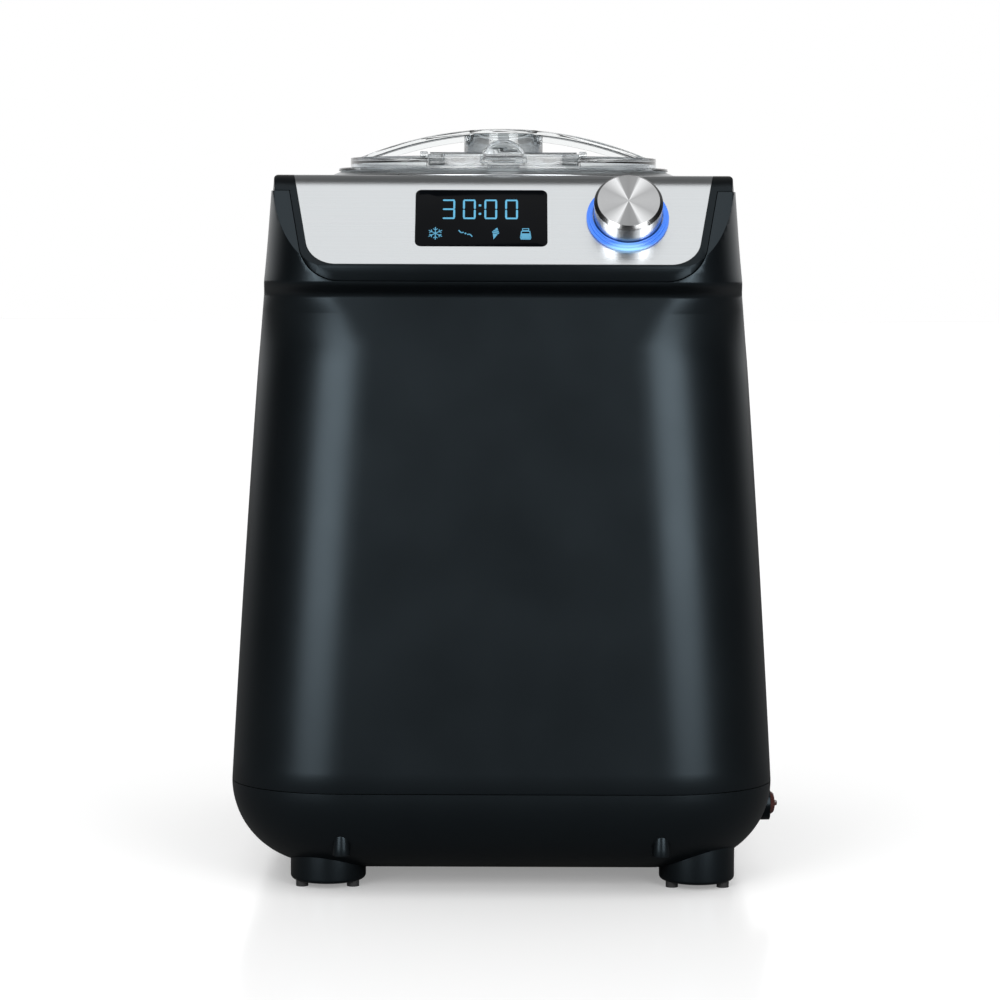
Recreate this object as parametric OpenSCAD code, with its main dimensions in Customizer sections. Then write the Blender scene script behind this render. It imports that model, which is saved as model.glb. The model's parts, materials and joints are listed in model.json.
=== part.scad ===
// Compressor ice cream maker on a round-bottomed base, with an inclined control panel and a clear lid.
// The origin lies on the table under the middle of the body. +X is the user's right, -Y the front.

/* [Body] */
// Width of the body at the seam between shell and base
body_w = 272.8; // [262:0.2:330]
// Depth of the body at the same seam
body_d = 305; // [298:1:366]
// Height of the steel deck above the table
deck_z = 356.3; // [352:0.1:430]
// Height of the seam between shell and base
seam_z = 52.5; // [50:0.5:56]
// Depth of the body's corner curves in plan
plan_r = 48; // [44:1:54]
// Width of the body's corner curves in plan
plan_w = 58; // [50:1:64]
// Wall of the plastic shells
wall = 2.5; // [2:0.1:3]
// Width lost on each side per mm of height, at the seam
side_taper = 0.055; // [0.04:0.005:0.07]
// Extra curvature of the sides, per mm squared
side_curve = 0.000042; // [0:0.000002:0.00006]
// How far the front leans back between seam and chin
front_lean = 9; // [5:0.5:12]
// Rear lean, per mm of height
rear_taper = 0.04; // [0.02:0.005:0.05]
// Gap of the parting lines
seam_gap = 0.4; // [0.3:0.05:0.6]

/* [Base] */
// Height of the pan's underside above the table
pan_z = 8; // [7:0.5:10]
// Radius of the pan's rounded edge in plan
pan_round = 46; // [40:1:48]
// Foot radius
foot_r = 19; // [16:0.5:21]
// Clearance under the feet, filled by the pads
pad_h = 4.3; // [3:0.1:6]
// Pad radius
pad_r = 3.1; // [2.5:0.1:4]
// Left and right foot centres, seen from the front
foot_x = [-87.4, 98.8];
// Distance of the front and rear foot centres from the body's front and rear
foot_inset = 40; // [34:1:46]
// Radius of the screw bosses under the seam
boss_r = 4.5; // [4:0.1:5]
// Half the distance between the screw bosses
boss_x = 79.3; // [74:0.1:84]

/* [Panel] */
// Lean of the control panel from the vertical
panel_lean = 37; // [35:1:40]
// Distance of the crease between panel and deck from the body's front
crease_set = 35; // [34:0.5:37]
// Bend radius between panel and deck
bend_r = 17; // [14:0.5:19]
// Half width of the steel panel at the crease
panel_hw = 103.4; // [98:0.1:104]
// Half width lost along the panel's slope, per mm
panel_taper = 0.172; // [0.1:0.002:0.2]
// Length of the panel along its slope, from the crease
panel_l = 54.5; // [53:0.5:55.5]
// Lower corner radius of the panel
panel_r = 15; // [12:0.5:18]
// Width of the frame beside the panel
arm_w = 3.6; // [3.2:0.1:4.2]
// Height of the frame's chin below the panel, along the slope
chin_w = 7.4; // [6.8:0.1:8]
// Thickness of the steel sheet
sheet = 0.8; // [0.6:0.1:1]
// Display window width, height and corner radius
window = [64.6, 34.4, 3];
// Display window centre on the panel: right of the middle, up from the crease
window_at = [-10.8, -26.6];
// Knob centre on the panel
knob_at = [60.9, -26.6];
// Knob radius
knob_r = 16.85; // [13.5:0.05:20.3]
// Height of the knob's face above the panel
knob_h = 14.4; // [12:0.1:17]
// Width of the light ring round the knob
light_w = 3.0; // [2.5:0.1:3.5]
// Travel of the knob when it is pressed
press = 1.2; // [0.8:0.1:1.4]
// Radius of the encoder's shaft
stem_r = 3; // [2.5:0.1:3.6]

/* [Bowl] */
// Distance of the bowl's axis from the body's front
bowl_set = 138; // [136:1:150]
// Outer radius of the removable container
bowl_r = 76; // [60:0.5:77]
// Height of the container
bowl_h = 151.6; // [130:0.1:152]
// Wall of the container and of the pot round it
bowl_wall = 1.5; // [1.2:0.1:2]
// Radial gap between container and pot
bowl_gap = 1; // [0.8:0.1:1.5]
// Radius of the coil's tube
coil_r = 3.5; // [3:0.1:3.6]
// Turns of the evaporator coil
coil_turns = 8; // [6:1:9]
// Thickness of the foam
foam = 8; // [6:0.5:10]

/* [Lid] */
// Lid rim height above the deck
lid_h = 10.2; // [9:0.1:12]
// Wall of the clear lid
lid_wall = 2; // [1.8:0.1:2.4]
// Height of the arched handle above the lid's rim
arch_h = 15.3; // [13:0.1:18]
// Width of the handle, front to back
arch_w = 22; // [18:1:26]
// Radius of the hub under the handle
hub_r = 20.7; // [18:0.1:23]
// Half width of the refill flap
flap_hw = 38; // [32:1:41]

/* [Drive] */
// Radius of the drive shaft
shaft_r = 5; // [4:0.1:6]
// Running clearance of shafts in their bores
running = 0.05; // [0.03:0.01:0.08]
// Tooth module of the gear pair
tooth_m = 1; // [0.8:0.05:1.2]
// Teeth of the drive gear
gear_teeth = 60; // [48:12:60]
// Teeth of the motor pinion
pinion_teeth = 12; // [12:1:15]
// Width of the gears
gear_w = 10; // [8:0.5:12]
// Radius and height of the mixing motor
motor = [27, 60];

/* [Cooling] */
// Radius of the compressor's shell
comp_r = 58; // [48:1:59]
// Height of the compressor's shell
comp_h = 140; // [120:1:142]
// Wall of the compressor's shell
comp_wall = 3; // [2.5:0.1:3.5]
// Compressor centre: distance left of the middle, and in from the body's rear
comp_at = [45, 82];
// Edge of the square fan
fan_w = 80; // [70:1:82]
// Depth of the fan
fan_d = 25; // [20:1:26]
// Fins on the condenser
fin_n = 31; // [20:1:34]
// Depth of the condenser
fin_d = 20; // [16:1:22]
// Tube radius of the condenser
tube_r = 3.5; // [3:0.1:4]

/* [Switch] */
// Radius of the mains switch's bezel
switch_r = 8.75; // [7.5:0.05:9.5]
// Distance of the switch from the body's front
switch_set = 65; // [60:1:90]
// Height of the switch above the table
switch_z = 37; // [35:0.5:38]
// Swing of the rocker
rocker_swing = 16; // [12:1:18]

/* [Hidden] */
$fn = 64;

plastic = "#20262b";
clear_plastic = "#dfe8ec80";
steel = "#c9cbcc";
aluminium = "#c4c8cc";
copper = "#b9683c";
rubber = "#1b1b1c";
far = 600;
touch = 0.1; // gap between faces that lie against each other
front_y0 = -155;
rear_y0 = front_y0 + body_d;
bowl_y = front_y0 + bowl_set;

// Frame and panel
bend_a = 90 - panel_lean;
crease_y = front_y0 + crease_set;
chin_y = front_y0 + 0.6;
nose_r = 7;
frame_t = 2.2;
nose_z = deck_z - (crease_y - chin_y) / tan(panel_lean);
chin_z = deck_z - 51.9;
cap_h = 7.8;
cap_z = deck_z - cap_h;
cap_inset = 0.8;
flare_h = 15;
// How much tighter the front corner curves are at the chin, in depth and width
chin_r = 8;
chin_wide = 22;
// Width lost on each side over the shoulder of the shell, and the height it takes
shoulder = 1.4;
shoulder_h = 70;
lip_d = 12;

// Pan
lip_h = 5.5;
lip_t = 1.7;
stand_z = 14;

// Bowl stack, from the deck down
seat_z = deck_z + 1.3;
bowl_z = seat_z + bowl_wall - bowl_h - bowl_wall;
rim_r = bowl_r + 6.9;
pot_r = bowl_r + bowl_gap;
pot_out = pot_r + bowl_wall;
pot_floor = bowl_z - 1;
pot_top = deck_z - 5;
open_r = pot_out + 3.5;
coil_path_r = pot_out + coil_r + 0.9;
foam_in = coil_path_r + coil_r + 0.3;
foam_out = foam_in + foam;
foam_z = pot_floor - 22;
foam_top = deck_z - 14.3;
collar_r = shaft_r + 5;
collar_z = pot_floor - 19;
core_r = shaft_r + 1;
core_top = bowl_z + 48;
bush_r = shaft_r + 2.95;

// Drive
head_z = core_top + 1.5;
head_h = 6;
plate_z = foam_z - 0.3 - 2.5;
gear_z = plate_z - 5 - gear_w;
gear_r = tooth_m * gear_teeth / 2;
pinion_r = tooth_m * pinion_teeth / 2;
gear_gap = gear_r + pinion_r + 0.1;
tooth_gap = 2;
case_t = 2.5;
case_z = gear_z - 4 - case_t;
pinion_y = bowl_y - gear_gap;
motor_stem = 2.5;

// Cooling
comp_x = -comp_at[0];
comp_y = rear_y0 - comp_at[1];
bracket_z = stand_z + 7;
bracket_t = 3;
comp_z = bracket_z + bracket_t;
foot_hole_x = comp_r - 12;
foot_hole_y = comp_r - 22;
bolt_r = 2.4;
fan_x = body_w / 2 - 110.4;
fan_z = 34;
cond_y = rear_y0 - 46;
fan_y = cond_y - 3 - fan_d;
pipe_r = 3;
capillary_r = 1.2;
drier = [8, 70];
drier_at = [6, rear_y0 - 22, 50];

// Lid
lid_top = deck_z + lid_h;
flange_z = deck_z + 3.4;
ring_r = bowl_r + 15.4;
flange_r = ring_r - 4.8;
lid_r = bowl_r + 4.4;
stem_top = deck_z + 5;
paddle_r = 6;
hinge_y = bowl_y - hub_r - 4.5;
hinge_z = lid_top + 0.6;
hinge_r = 2.2;
pin_r = 1;
arch_span = lid_r - 4.9;
arch_rad = (arch_span * arch_span + arch_h * arch_h) / (2 * arch_h);

switch_y = front_y0 + switch_set;
rocker_r = switch_r - 1.95;
bezel_x = body_w / 2 + 1.1;
rocker_x = bezel_x - 2.9;

// ---- Outline of the body -------------------------------------------------------------------------------
function half_w(z) = body_w / 2 - side_taper * (z - seam_z) - side_curve * pow(z - seam_z, 2)
    - shoulder * ease((z - cap_z) / shoulder_h + 1.3);
function ease(t) = t <= 0 ? 0 : t >= 1 ? 1 : t * t * (3 - 2 * t);
function lean(z) = front_lean * min(1, (z - seam_z) / (chin_z - seam_z));
function flare(z) = ease((z - chin_z + flare_h) / flare_h);
function front_y(z) = front_y0 + lean(z) - (front_lean - chin_y + front_y0) * flare(z);
function rear_y(z) = rear_y0 - rear_taper * (z - seam_z);

// Arc about c. A stretch other than 1 makes it elliptical, wider or narrower in x.
function arc(c, r, from, to, n = 8, stretch = 1) =
    [for (i = [0 : n]) let (a = from + (to - from) * i / n) c + r * [stretch * cos(a), sin(a)]];

// Rectangle with front corners r deep and w wide, counterclockwise from the right rear corner
function plan(hw, y0, y1, r, w = 0, rear = []) =
    let (wide = max(w, r), x = hw - wide, k = wide / r,
        back_r = len(rear) > 0 ? rear[0] : r, back_w = len(rear) > 0 ? rear[1] : wide,
        back_x = hw - back_w, back_k = back_w / back_r)
    concat(
        arc([back_x, y1 - back_r], back_r, 0, 90, 8, back_k),
        arc([-back_x, y1 - back_r], back_r, 90, 180, 8, back_k),
        arc([-x, y0 + r], r, 180, 270, 8, k), arc([x, y0 + r], r, 270, 360, 8, k));

function lift(points, z) = [for (p = points) [p[0], p[1], z]];

// Body outline at height z, drawn in by inset
function body_ring(z, inset = 0) =
    lift(plan(half_w(z) - inset, front_y(z) + inset, rear_y(z) - inset,
        plan_r - chin_r * flare(z) - inset, plan_w - chin_wide * flare(z) - inset,
        [plan_r - inset, plan_w - inset]), z);

// Pan outline on its rounded edge: angle 0 is the seam, 90 the underside
function pan_ring(a, inset = 0, top = seam_z) = let (
    in = inset + pan_round * (1 - cos(a)),
    less = inset + 0.85 * (in - inset))
    lift(plan(body_w / 2 - in, front_y0 + in, rear_y0 - in, plan_r - less, plan_w - less),
        top - (top - pan_z - inset) * sin(a));

// Closed solid through rings of equally many points. A loop joins the last ring to the first.
module loft(rings, loop = false) {
    n = len(rings[0]);
    m = len(rings);
    sides = [for (k = [0 : loop ? m - 1 : m - 2], i = [0 : n - 1])
        let (j = (i + 1) % n, up = (k + 1) % m)
        [k * n + i, up * n + i, up * n + j, k * n + j]];
    caps = loop ? [] : [[for (i = [0 : n - 1]) i], [for (i = [n - 1 : -1 : 0]) (m - 1) * n + i]];
    polyhedron(points = [for (r = rings, p = r) p], faces = concat(sides, caps), convexity = 8);
}

// ---- Tubes along a route -------------------------------------------------------------------------------
function unit(v) = v / norm(v);
function tangent(p, i) = unit(p[min(i + 1, len(p) - 1)] - p[max(i - 1, 0)]);
function carried(p, i, side) = i == len(p) ? [] :
    let (t = tangent(p, i), s = unit(side - (side * t) * t)) concat([s], carried(p, i + 1, s));
function bowed(a, b, c, d, t) = 0.5 * (2 * b + (c - a) * t + (2 * a - 5 * b + 4 * c - d) * t * t
    + (3 * b - a - 3 * c + d) * t * t * t);
function smooth(p, steps = 4) = concat(
    [for (i = [0 : len(p) - 2], k = [0 : steps - 1])
        bowed(p[max(i - 1, 0)], p[i], p[i + 1], p[min(i + 2, len(p) - 1)], k / steps)],
    [p[len(p) - 1]]);

module tube(route, r, side = [0, 0, 1], sides = 8) {
    normals = carried(route, 0, side);
    loft([for (i = [0 : len(route) - 1]) let (t = tangent(route, i), n = normals[i], b = cross(t, n))
        [for (k = [0 : sides - 1]) route[i] + r * (n * cos(360 * k / sides) + b * sin(360 * k / sides))]]);
}

// ---- Places --------------------------------------------------------------------------------------------
// Panel frame: X right, Y up the slope from the crease, Z out of the panel
module on_panel() {
    translate([0, crease_y, deck_z]) rotate([bend_a, 0, 0]) children();
}

module at_knob() {
    on_panel() translate([knob_at[0], knob_at[1], 0]) children();
}

// Rear frame: Y up the rear wall from the seam, Z out of it
module on_rear() {
    translate([0, rear_y0, seam_z]) rotate([90 - atan(rear_taper), 0, 180]) children();
}

module at_bowl() {
    translate([0, bowl_y, 0]) children();
}

module at_switch(x) {
    translate([x, switch_y, switch_z]) rotate([0, 90, 0]) children();
}

// Turned piece from [radius, height] points
module turned(points) {
    rotate_extrude() polygon(points);
}

module ring(r_in, r_out, z, h) {
    translate([0, 0, z]) difference() {
        cylinder(r = r_out, h = h);
        translate([0, 0, -1]) cylinder(r = r_in, h = h + 2);
    }
}

// ---- Side profile of nose, panel, bend and deck --------------------------------------------------------
bend_c = [crease_y + bend_r * tan(bend_a / 2), deck_z - bend_r];
nose_c = [chin_y + nose_r, nose_z - nose_r * tan(panel_lean / 2)];

function profile(d) = concat(
    [[far, deck_z - d]],
    arc(bend_c, bend_r - d, 90, 90 + bend_a),
    arc(nose_c, nose_r - d, 90 + bend_a, 180, 5),
    [[chin_y + d, chin_z - 9], [-far, chin_z - 9], [-far, -1], [far, -1]]);

module under_profile(d) {
    rotate([90, 0, 90]) linear_extrude(height = 2 * far, center = true) polygon(profile(d));
}

// Outline of the steel panel on its slope, grown by side and by foot
function slope_outline(side, foot, r, top = 30) = let (
    l = panel_l + foot,
    hw = panel_hw + side - panel_taper * l,
    lean_a = atan(panel_taper),
    dx = r * tan(45 - lean_a / 2))
    concat(
        [[panel_hw + side + panel_taper * top, top], [-panel_hw - side - panel_taper * top, top]],
        arc([dx - hw, r - l], r, 180 + lean_a, 270),
        arc([hw - dx, r - l], r, 270, 360 - lean_a));

module slope_prism(side, foot, r, depth, height = 60, top = 30) {
    on_panel() translate([0, 0, -depth]) linear_extrude(height = depth + height)
        polygon(slope_outline(side, foot, r, top));
}

deck_rear = rear_y(deck_z) - half_w(deck_z) + panel_hw;

module deck_prism(grow, z, h) {
    translate([0, 0, z]) linear_extrude(height = h)
        polygon(plan(panel_hw + grow, crease_y - 12, deck_rear + grow, plan_r - 10));
}

levels = [seam_z + seam_gap / 2, seam_z + 40, seam_z + 90, seam_z + 140, seam_z + 190, chin_z - 24,
    chin_z - flare_h, chin_z - 12, chin_z - 9, chin_z - 6, chin_z - 3, chin_z, chin_z + 10, chin_z + 22,
    deck_z + 2];

module body_solid(inset) {
    intersection() {
        loft([for (z = levels) body_ring(z, inset)]);
        under_profile(inset);
    }
}

// ---- Base ----------------------------------------------------------------------------------------------
pan_steps = [90, 80, 70, 60, 50, 40, 30, 20, 10, 0];
rim_z = seam_z - seam_gap / 2;
floor_z = pan_z + wall;

module pan_solid() {
    loft([for (a = pan_steps) pan_ring(a, 0, rim_z)]);
}

module pillar(x, y, r, top) {
    translate([x, y, floor_z - 0.3]) cylinder(r = r, h = top - floor_z + 0.3);
}

board_at = [-56, front_y0 + 62, 32];
board_w = [72, 56];
board_holes = [for (sx = [-1, 1], sy = [-1, 1]) [sx * (board_w[0] / 2 - 5), sy * (board_w[1] / 2 - 5)]];
comp_holes = [for (sx = [-1, 1], sy = [-1, 1]) [comp_x + sx * foot_hole_x, comp_y + sy * foot_hole_y]];
boss_y = [front_y0 + 10, rear_y0 - 10];
boss_z = pan_z + 12;
screw_r = 1.8;
intake_n = 8;
intake_w = 4;

module base_pan() {
    outer = [for (a = pan_steps) pan_ring(a, 0, rim_z)];
    rim = [body_ring(rim_z, wall + 0.2), body_ring(rim_z + lip_h, wall + 0.2),
        body_ring(rim_z + lip_h, wall + 0.2 + lip_t), body_ring(rim_z, wall + 0.2 + lip_t)];
    inner = [for (i = [len(pan_steps) - 1 : -1 : 0]) pan_ring(pan_steps[i], wall, rim_z - 3)];
    color(plastic) difference() {
        union() {
            loft(concat(outer, rim, inner));
            for (h = comp_holes) pillar(h[0], h[1], 7.5, stand_z);
            for (h = board_holes) pillar(board_at[0] + h[0], board_at[1] + h[1], 3.5, board_at[2]);
            for (x = [-boss_x, boss_x], y = boss_y)
                translate([x, y, boss_z]) cylinder(r = boss_r, h = seam_z - boss_z - 12);
            at_switch(half_w(switch_z) - 14) cylinder(r = switch_r + 1.5, h = 12);
        }
        for (x = [-boss_x, boss_x], y = boss_y)
            translate([x, y, boss_z - 1]) cylinder(r = screw_r + 1.7, h = 4);
        for (h = comp_holes) translate([h[0], h[1], pan_z + 2]) cylinder(r = bolt_r + 0.1, h = 20);
        for (k = [0 : intake_n - 1]) translate([fan_x - 30 + k * 8, fan_y - 24, pan_z - 1])
            cube([intake_w, 40, wall + 2]);
        at_switch(half_w(switch_z) - 20) cylinder(r = switch_r + 0.05, h = 40);
    }
}

foot_places = [for (x = foot_x, y = [front_y0 + foot_inset, rear_y0 - foot_inset]) [x, y]];
pad_spots = [[-12.8, -7.4], [12.8, -7.4], [0, 14.8]];
foot_edge = 4;

module feet() {
    color(plastic) for (f = foot_places) difference() {
        translate([f[0], f[1], 0]) turned(concat([[0, 40], [0, pad_h]],
            arc([foot_r - foot_edge, pad_h + foot_edge], foot_edge, 270, 360, 5), [[foot_r, 40]]));
        translate([0, 0, -touch]) pan_solid();
        translate([0, 0, seam_z - 14 - touch]) cube([2 * far, 2 * far, 28], center = true);
        for (p = pad_spots) translate([f[0] + p[0], f[1] + p[1], 0]) cylinder(r = pad_r + 0.05, h = 7);
    }
}

module foot_pads() {
    color(rubber) for (f = foot_places, p = pad_spots)
        translate([f[0] + p[0], f[1] + p[1], 0]) cylinder(r = pad_r, h = 6.9);
}

module base_screws() {
    color(steel) for (x = [-boss_x, boss_x], y = boss_y)
        translate([x, y, boss_z + 0.6]) cylinder(r = screw_r + 1.5, h = 2.2);
}

// ---- Shell and rear ------------------------------------------------------------------------------------
rear_open = [124, 176];
rear_low = 16;
rear_plate = [134, 186];
slot_n = 14;
slot_gap = 11;
slot = [46, 4.5];
screw_spots = [for (sx = [-1, 1], sy = [-1, 1])
    [sx * (rear_plate[0] / 2 - 2.6), rear_low + rear_open[1] / 2 + sy * (rear_plate[1] / 2 - 2.6)]];
gland_at = [-38, rear_low + 12];

module body_shell() {
    color(plastic) difference() {
        body_solid(0);
        translate([0, 0, -touch]) body_solid(wall);
        slope_prism(arm_w + seam_gap, chin_w + seam_gap, panel_r + 5, lip_d + 2);
        translate([-far, -far, cap_z - seam_gap / 2]) cube([2 * far, 2 * far, far]);
        on_rear() translate([-rear_open[0] / 2, rear_low, -20]) cube([rear_open[0], rear_open[1], 40]);
    }
}

module rear_panel() {
    color(plastic) on_rear() difference() {
        translate([-rear_plate[0] / 2, rear_low - 5, touch]) cube([rear_plate[0], rear_plate[1], wall]);
        for (k = [0 : slot_n - 1], sx = [-1, 1])
            translate([sx * 27 - slot[0] / 2, rear_low + 26 + k * slot_gap, -5]) cube([slot[0], slot[1], 20]);
        translate([gland_at[0], gland_at[1], -5]) cylinder(r = 7.05, h = 20);
        for (s = screw_spots) translate([s[0], s[1], -5]) cylinder(r = 1.1, h = 20);
    }
}

module rear_screws() {
    color(steel) on_rear() for (s = screw_spots) translate([s[0], s[1], 0]) {
        translate([0, 0, touch + 0.2]) cylinder(r = 1, h = wall);
        translate([0, 0, touch + wall + 0.05]) cylinder(r = 2.2, h = 1);
    }
}

module cord_gland() {
    color(rubber) on_rear() translate([gland_at[0], gland_at[1], 0]) turned([
        [4, -6], [9, -6], [9, 0], [7, 0], [7, wall + 0.2], [9.5, wall + 0.2], [8.5, 6.5], [4, 6.5]]);
}

// ---- Top frame, panel and deck -------------------------------------------------------------------------
cap_levels = [cap_z, deck_z - 1.6, deck_z - 0.5, deck_z + 0.01];
cap_draw = [0, 0, 0.7, 1.8];

module frame_solid() {
    intersection() {
        under_profile(0);
        union() {
            loft([for (i = [0 : 3]) body_ring(cap_levels[i], cap_inset + cap_draw[i])]);
            intersection() {
                loft([for (z = levels) body_ring(z)]);
                slope_prism(arm_w, chin_w, panel_r + 5, lip_d, 20, 12);
            }
        }
    }
}

module frame_hollow() {
    t = frame_t + sheet;
    intersection() {
        under_profile(t);
        union() {
            loft([for (z = [cap_z - 1, deck_z]) body_ring(z, cap_inset + 3)]);
            slope_prism(arm_w - t, chin_w - t, panel_r + 2, far / 2, 20, 12);
        }
    }
}

module sheet_space(grow) {
    difference() {
        union() {
            slope_prism(grow, grow, panel_r + grow, 20, 20, 12);
            deck_prism(grow, deck_z - 20, 40);
        }
        under_profile(sheet);
    }
}

module window_hole(grow, z, h) {
    on_panel() translate([window_at[0], window_at[1], z]) linear_extrude(height = h)
        polygon(plan(window[0] / 2 + grow, -window[1] / 2 - grow, window[1] / 2 + grow, window[2]));
}

module top_frame() {
    color(plastic) difference() {
        frame_solid();
        frame_hollow();
        sheet_space(touch);
        at_bowl() cylinder(r = open_r, h = far);
        window_hole(touch, -10, 12);
        at_knob() translate([0, 0, -12]) cylinder(r = stem_r + 1.7, h = 20);
    }
}

module steel_panel() {
    color(steel) difference() {
        intersection() {
            under_profile(0);
            sheet_space(0);
        }
        at_bowl() cylinder(r = open_r, h = far);
        window_hole(touch, -10, 12);
        at_knob() translate([0, 0, -12]) cylinder(r = stem_r + 1.7, h = 20);
    }
}

module deck_ring() {
    color(steel) at_bowl() turned([
        [rim_r - 2.7, deck_z + 0.05], [ring_r, deck_z + 0.05], [ring_r, deck_z + 0.6],
        [ring_r - 6.2, deck_z + 3.2], [rim_r + 0.3, deck_z + 3.2],
        [rim_r + 0.3, seat_z], [rim_r - 2.7, seat_z]]);
}

module display_window() {
    color("#101214") window_hole(0, -1.8, 2.1);
}

module light_ring() {
    color("#3b7fe0") at_knob() turned([
        [knob_r + 0.35, 0.05], [knob_r + 0.35 + light_w, 0.05], [knob_r + 0.35 + light_w, 1.2],
        [knob_r + 2.2, 2.4], [knob_r + 1.2, 3.4], [knob_r + 0.35, 3.4]]);
}

board_z = -9.7;
board_t = 1.6;

module control_board() {
    display = [56, 20, 4.4];
    chip = 5;
    color("#2f6b3c") on_panel() difference() {
        union() {
            translate([-58, -48, board_z]) cube([136, 40, board_t]);
            translate([window_at[0] - display[0] / 2, window_at[1] - display[1] / 2, board_z + board_t])
                cube(display);
            for (k = [0 : 3])
                translate([10 + k * 9, -44, board_z - chip / 2]) cube([chip, chip, chip / 2 + touch]);
        }
        translate([knob_at[0], knob_at[1], board_z - 1]) cylinder(r = stem_r + 0.4, h = 4);
    }
}

encoder_z = -8;

module encoder() {
    color("#8d9196") at_knob() difference() {
        union() {
            translate([-7, -7, encoder_z]) cube([14, 14, 4.7]);
            translate([0, 0, encoder_z + 4.6]) cylinder(r = stem_r + 1.5, h = 3);
        }
        translate([0, 0, encoder_z - 1]) cylinder(r = stem_r + running, h = 12);
    }
}

module encoder_plunger() {
    color("#d8d8d2") at_knob() translate([0, 0, encoder_z + 0.1]) cylinder(r = stem_r - 0.2, h = 1.4);
}

knob_gap = press + 0.8;

module knob_shaft() {
    color(steel) at_knob() translate([0, 0, encoder_z + 1.6])
        cylinder(r = stem_r, h = knob_h - encoder_z - 5);
}

module knob() {
    color(aluminium) at_knob() turned([
        [stem_r + 0.02, knob_gap], [stem_r + 3, knob_gap], [stem_r + 3, knob_h - 5.4],
        [knob_r - 2, knob_h - 5.4], [knob_r - 2, knob_gap], [knob_r, knob_gap], [knob_r, knob_h - 1.6],
        [knob_r - 1.6, knob_h], [0, knob_h], [0, knob_h - 3.3], [stem_r + 0.02, knob_h - 3.3]]);
}

// ---- Bowl stack ----------------------------------------------------------------------------------------
module evaporator_pot() {
    color(aluminium) at_bowl() turned([
        [collar_r - 2, collar_z], [collar_r, collar_z], [collar_r, pot_floor - bowl_wall],
        [pot_out, pot_floor - bowl_wall], [pot_out, pot_top - bowl_wall], [pot_out + 6, pot_top - bowl_wall],
        [pot_out + 6, pot_top], [pot_r, pot_top], [pot_r, pot_floor], [collar_r - 2, pot_floor]]);
}

coil_low = pot_floor + 8;
coil_high = foam_top - 32;
coil_side = 10.5;
coil_end_y = bowl_y + coil_path_r + 18;

// One end of the coil, turning out of the foam. side is 1 for the inlet and -1 for the outlet.
function coil_end(side, z) = [for (p = [[5, 1.5], [9, 5], [coil_side, 10], [coil_side, 18]])
    [side * p[0], bowl_y + coil_path_r + p[1], z]];
coil_step = 24;
function reversed(p) = [for (i = [len(p) - 1 : -1 : 0]) p[i]];

module evaporator_coil() {
    n = coil_turns * coil_step;
    turns = [for (i = [0 : n]) let (a = 90 + 360 * i / coil_step)
        [coil_path_r * cos(a), bowl_y + coil_path_r * sin(a), coil_low + (coil_high - coil_low) * i / n]];
    color(copper) tube(concat(reversed(coil_end(1, coil_low)), turns, coil_end(-1, coil_high)), coil_r);
}

module insulation() {
    color("#d9d4c2") difference() {
        at_bowl() turned([
            [collar_r + 0.3, foam_z], [foam_out, foam_z], [foam_out, foam_top], [foam_in, foam_top],
            [foam_in, pot_floor - bowl_wall - touch], [collar_r + 0.3, pot_floor - bowl_wall - touch]]);
        for (e = [[1, coil_low], [-1, coil_high]])
            translate([e[0] * (coil_side - 1.5) - 8, bowl_y + foam_in - 12, e[1] - 5]) cube([16, 40, 10]);
    }
}

module shaft_bush() {
    color("#b08d57") at_bowl() ring(shaft_r + running, bush_r, collar_z, pot_floor - collar_z - bowl_wall);
}

module shaft_seal() {
    color(rubber) at_bowl()
        ring(shaft_r + 0.3, bush_r - 0.05, pot_floor - bowl_wall + touch, bowl_wall - touch);
}

module container() {
    color(aluminium) at_bowl() turned([
        [core_r, bowl_z], [bowl_r, bowl_z], [bowl_r, seat_z + 0.05], [rim_r, seat_z + 0.05],
        [rim_r, seat_z + 0.05 + bowl_wall], [bowl_r - bowl_wall, seat_z + 0.05 + bowl_wall],
        [bowl_r - bowl_wall, bowl_z + bowl_wall], [core_r + 2, bowl_z + bowl_wall], [core_r + 2, core_top],
        [core_r, core_top]]);
}

hub_in = core_r + 2.5;
hub_out = hub_in + 3.5;
cap_under = core_top + 2;
blade_r = bowl_r - bowl_wall - 2;
blade_t = 3;
hex_r = shaft_r - 0.05;
blade_low = bowl_z + bowl_wall + 1.5;
blade_top = deck_z - 26;

module paddle() {
    color("#e9ecee") at_bowl() difference() {
        union() {
            translate([0, 0, blade_low]) cylinder(r = hub_out, h = cap_under + head_h + 3 - blade_low);
            translate([0, 0, cap_under + head_h]) cylinder(r = paddle_r, h = stem_top - cap_under - head_h);
            for (s = [0, 180]) rotate([0, 0, s]) {
                translate([0, -blade_t / 2, blade_low]) cube([blade_r, blade_t, 9]);
                translate([blade_r - 7, -blade_t / 2, blade_low]) cube([7, blade_t, blade_top - blade_low]);
                translate([0, -blade_t / 2, blade_top - 9]) cube([blade_r, blade_t, 9]);
            }
            translate([0, -blade_t / 2, cap_under + 18]) cube([blade_r - 2, blade_t, 8]);
            translate([2 - blade_r, -blade_t / 2, cap_under + 38]) cube([blade_r - 2, blade_t, 8]);
        }
        translate([0, 0, blade_low - 1]) cylinder(r = hub_in, h = cap_under - blade_low + 1);
        translate([0, 0, cap_under - 1]) cylinder(r = hex_r + 0.25, h = head_h + 2, $fn = 6);
    }
}

// ---- Lid -----------------------------------------------------------------------------------------------
plate_low = flange_z + 3.5;
hub_top = lid_top + arch_h - 2.4;
socket_low = stem_top - 5;

// Upright arch across the lid, between two radii
module arch(r_out, r_in, w) {
    translate([0, w / 2, lid_top + arch_h - arch_rad]) rotate([90, 0, 0]) linear_extrude(height = w)
        difference() {
            circle(r = r_out, $fn = 180);
            circle(r = r_in, $fn = 180);
            translate([-far, -2 * far]) square([2 * far, 2 * far + arch_rad - arch_h - 0.8]);
        }
}

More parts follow.
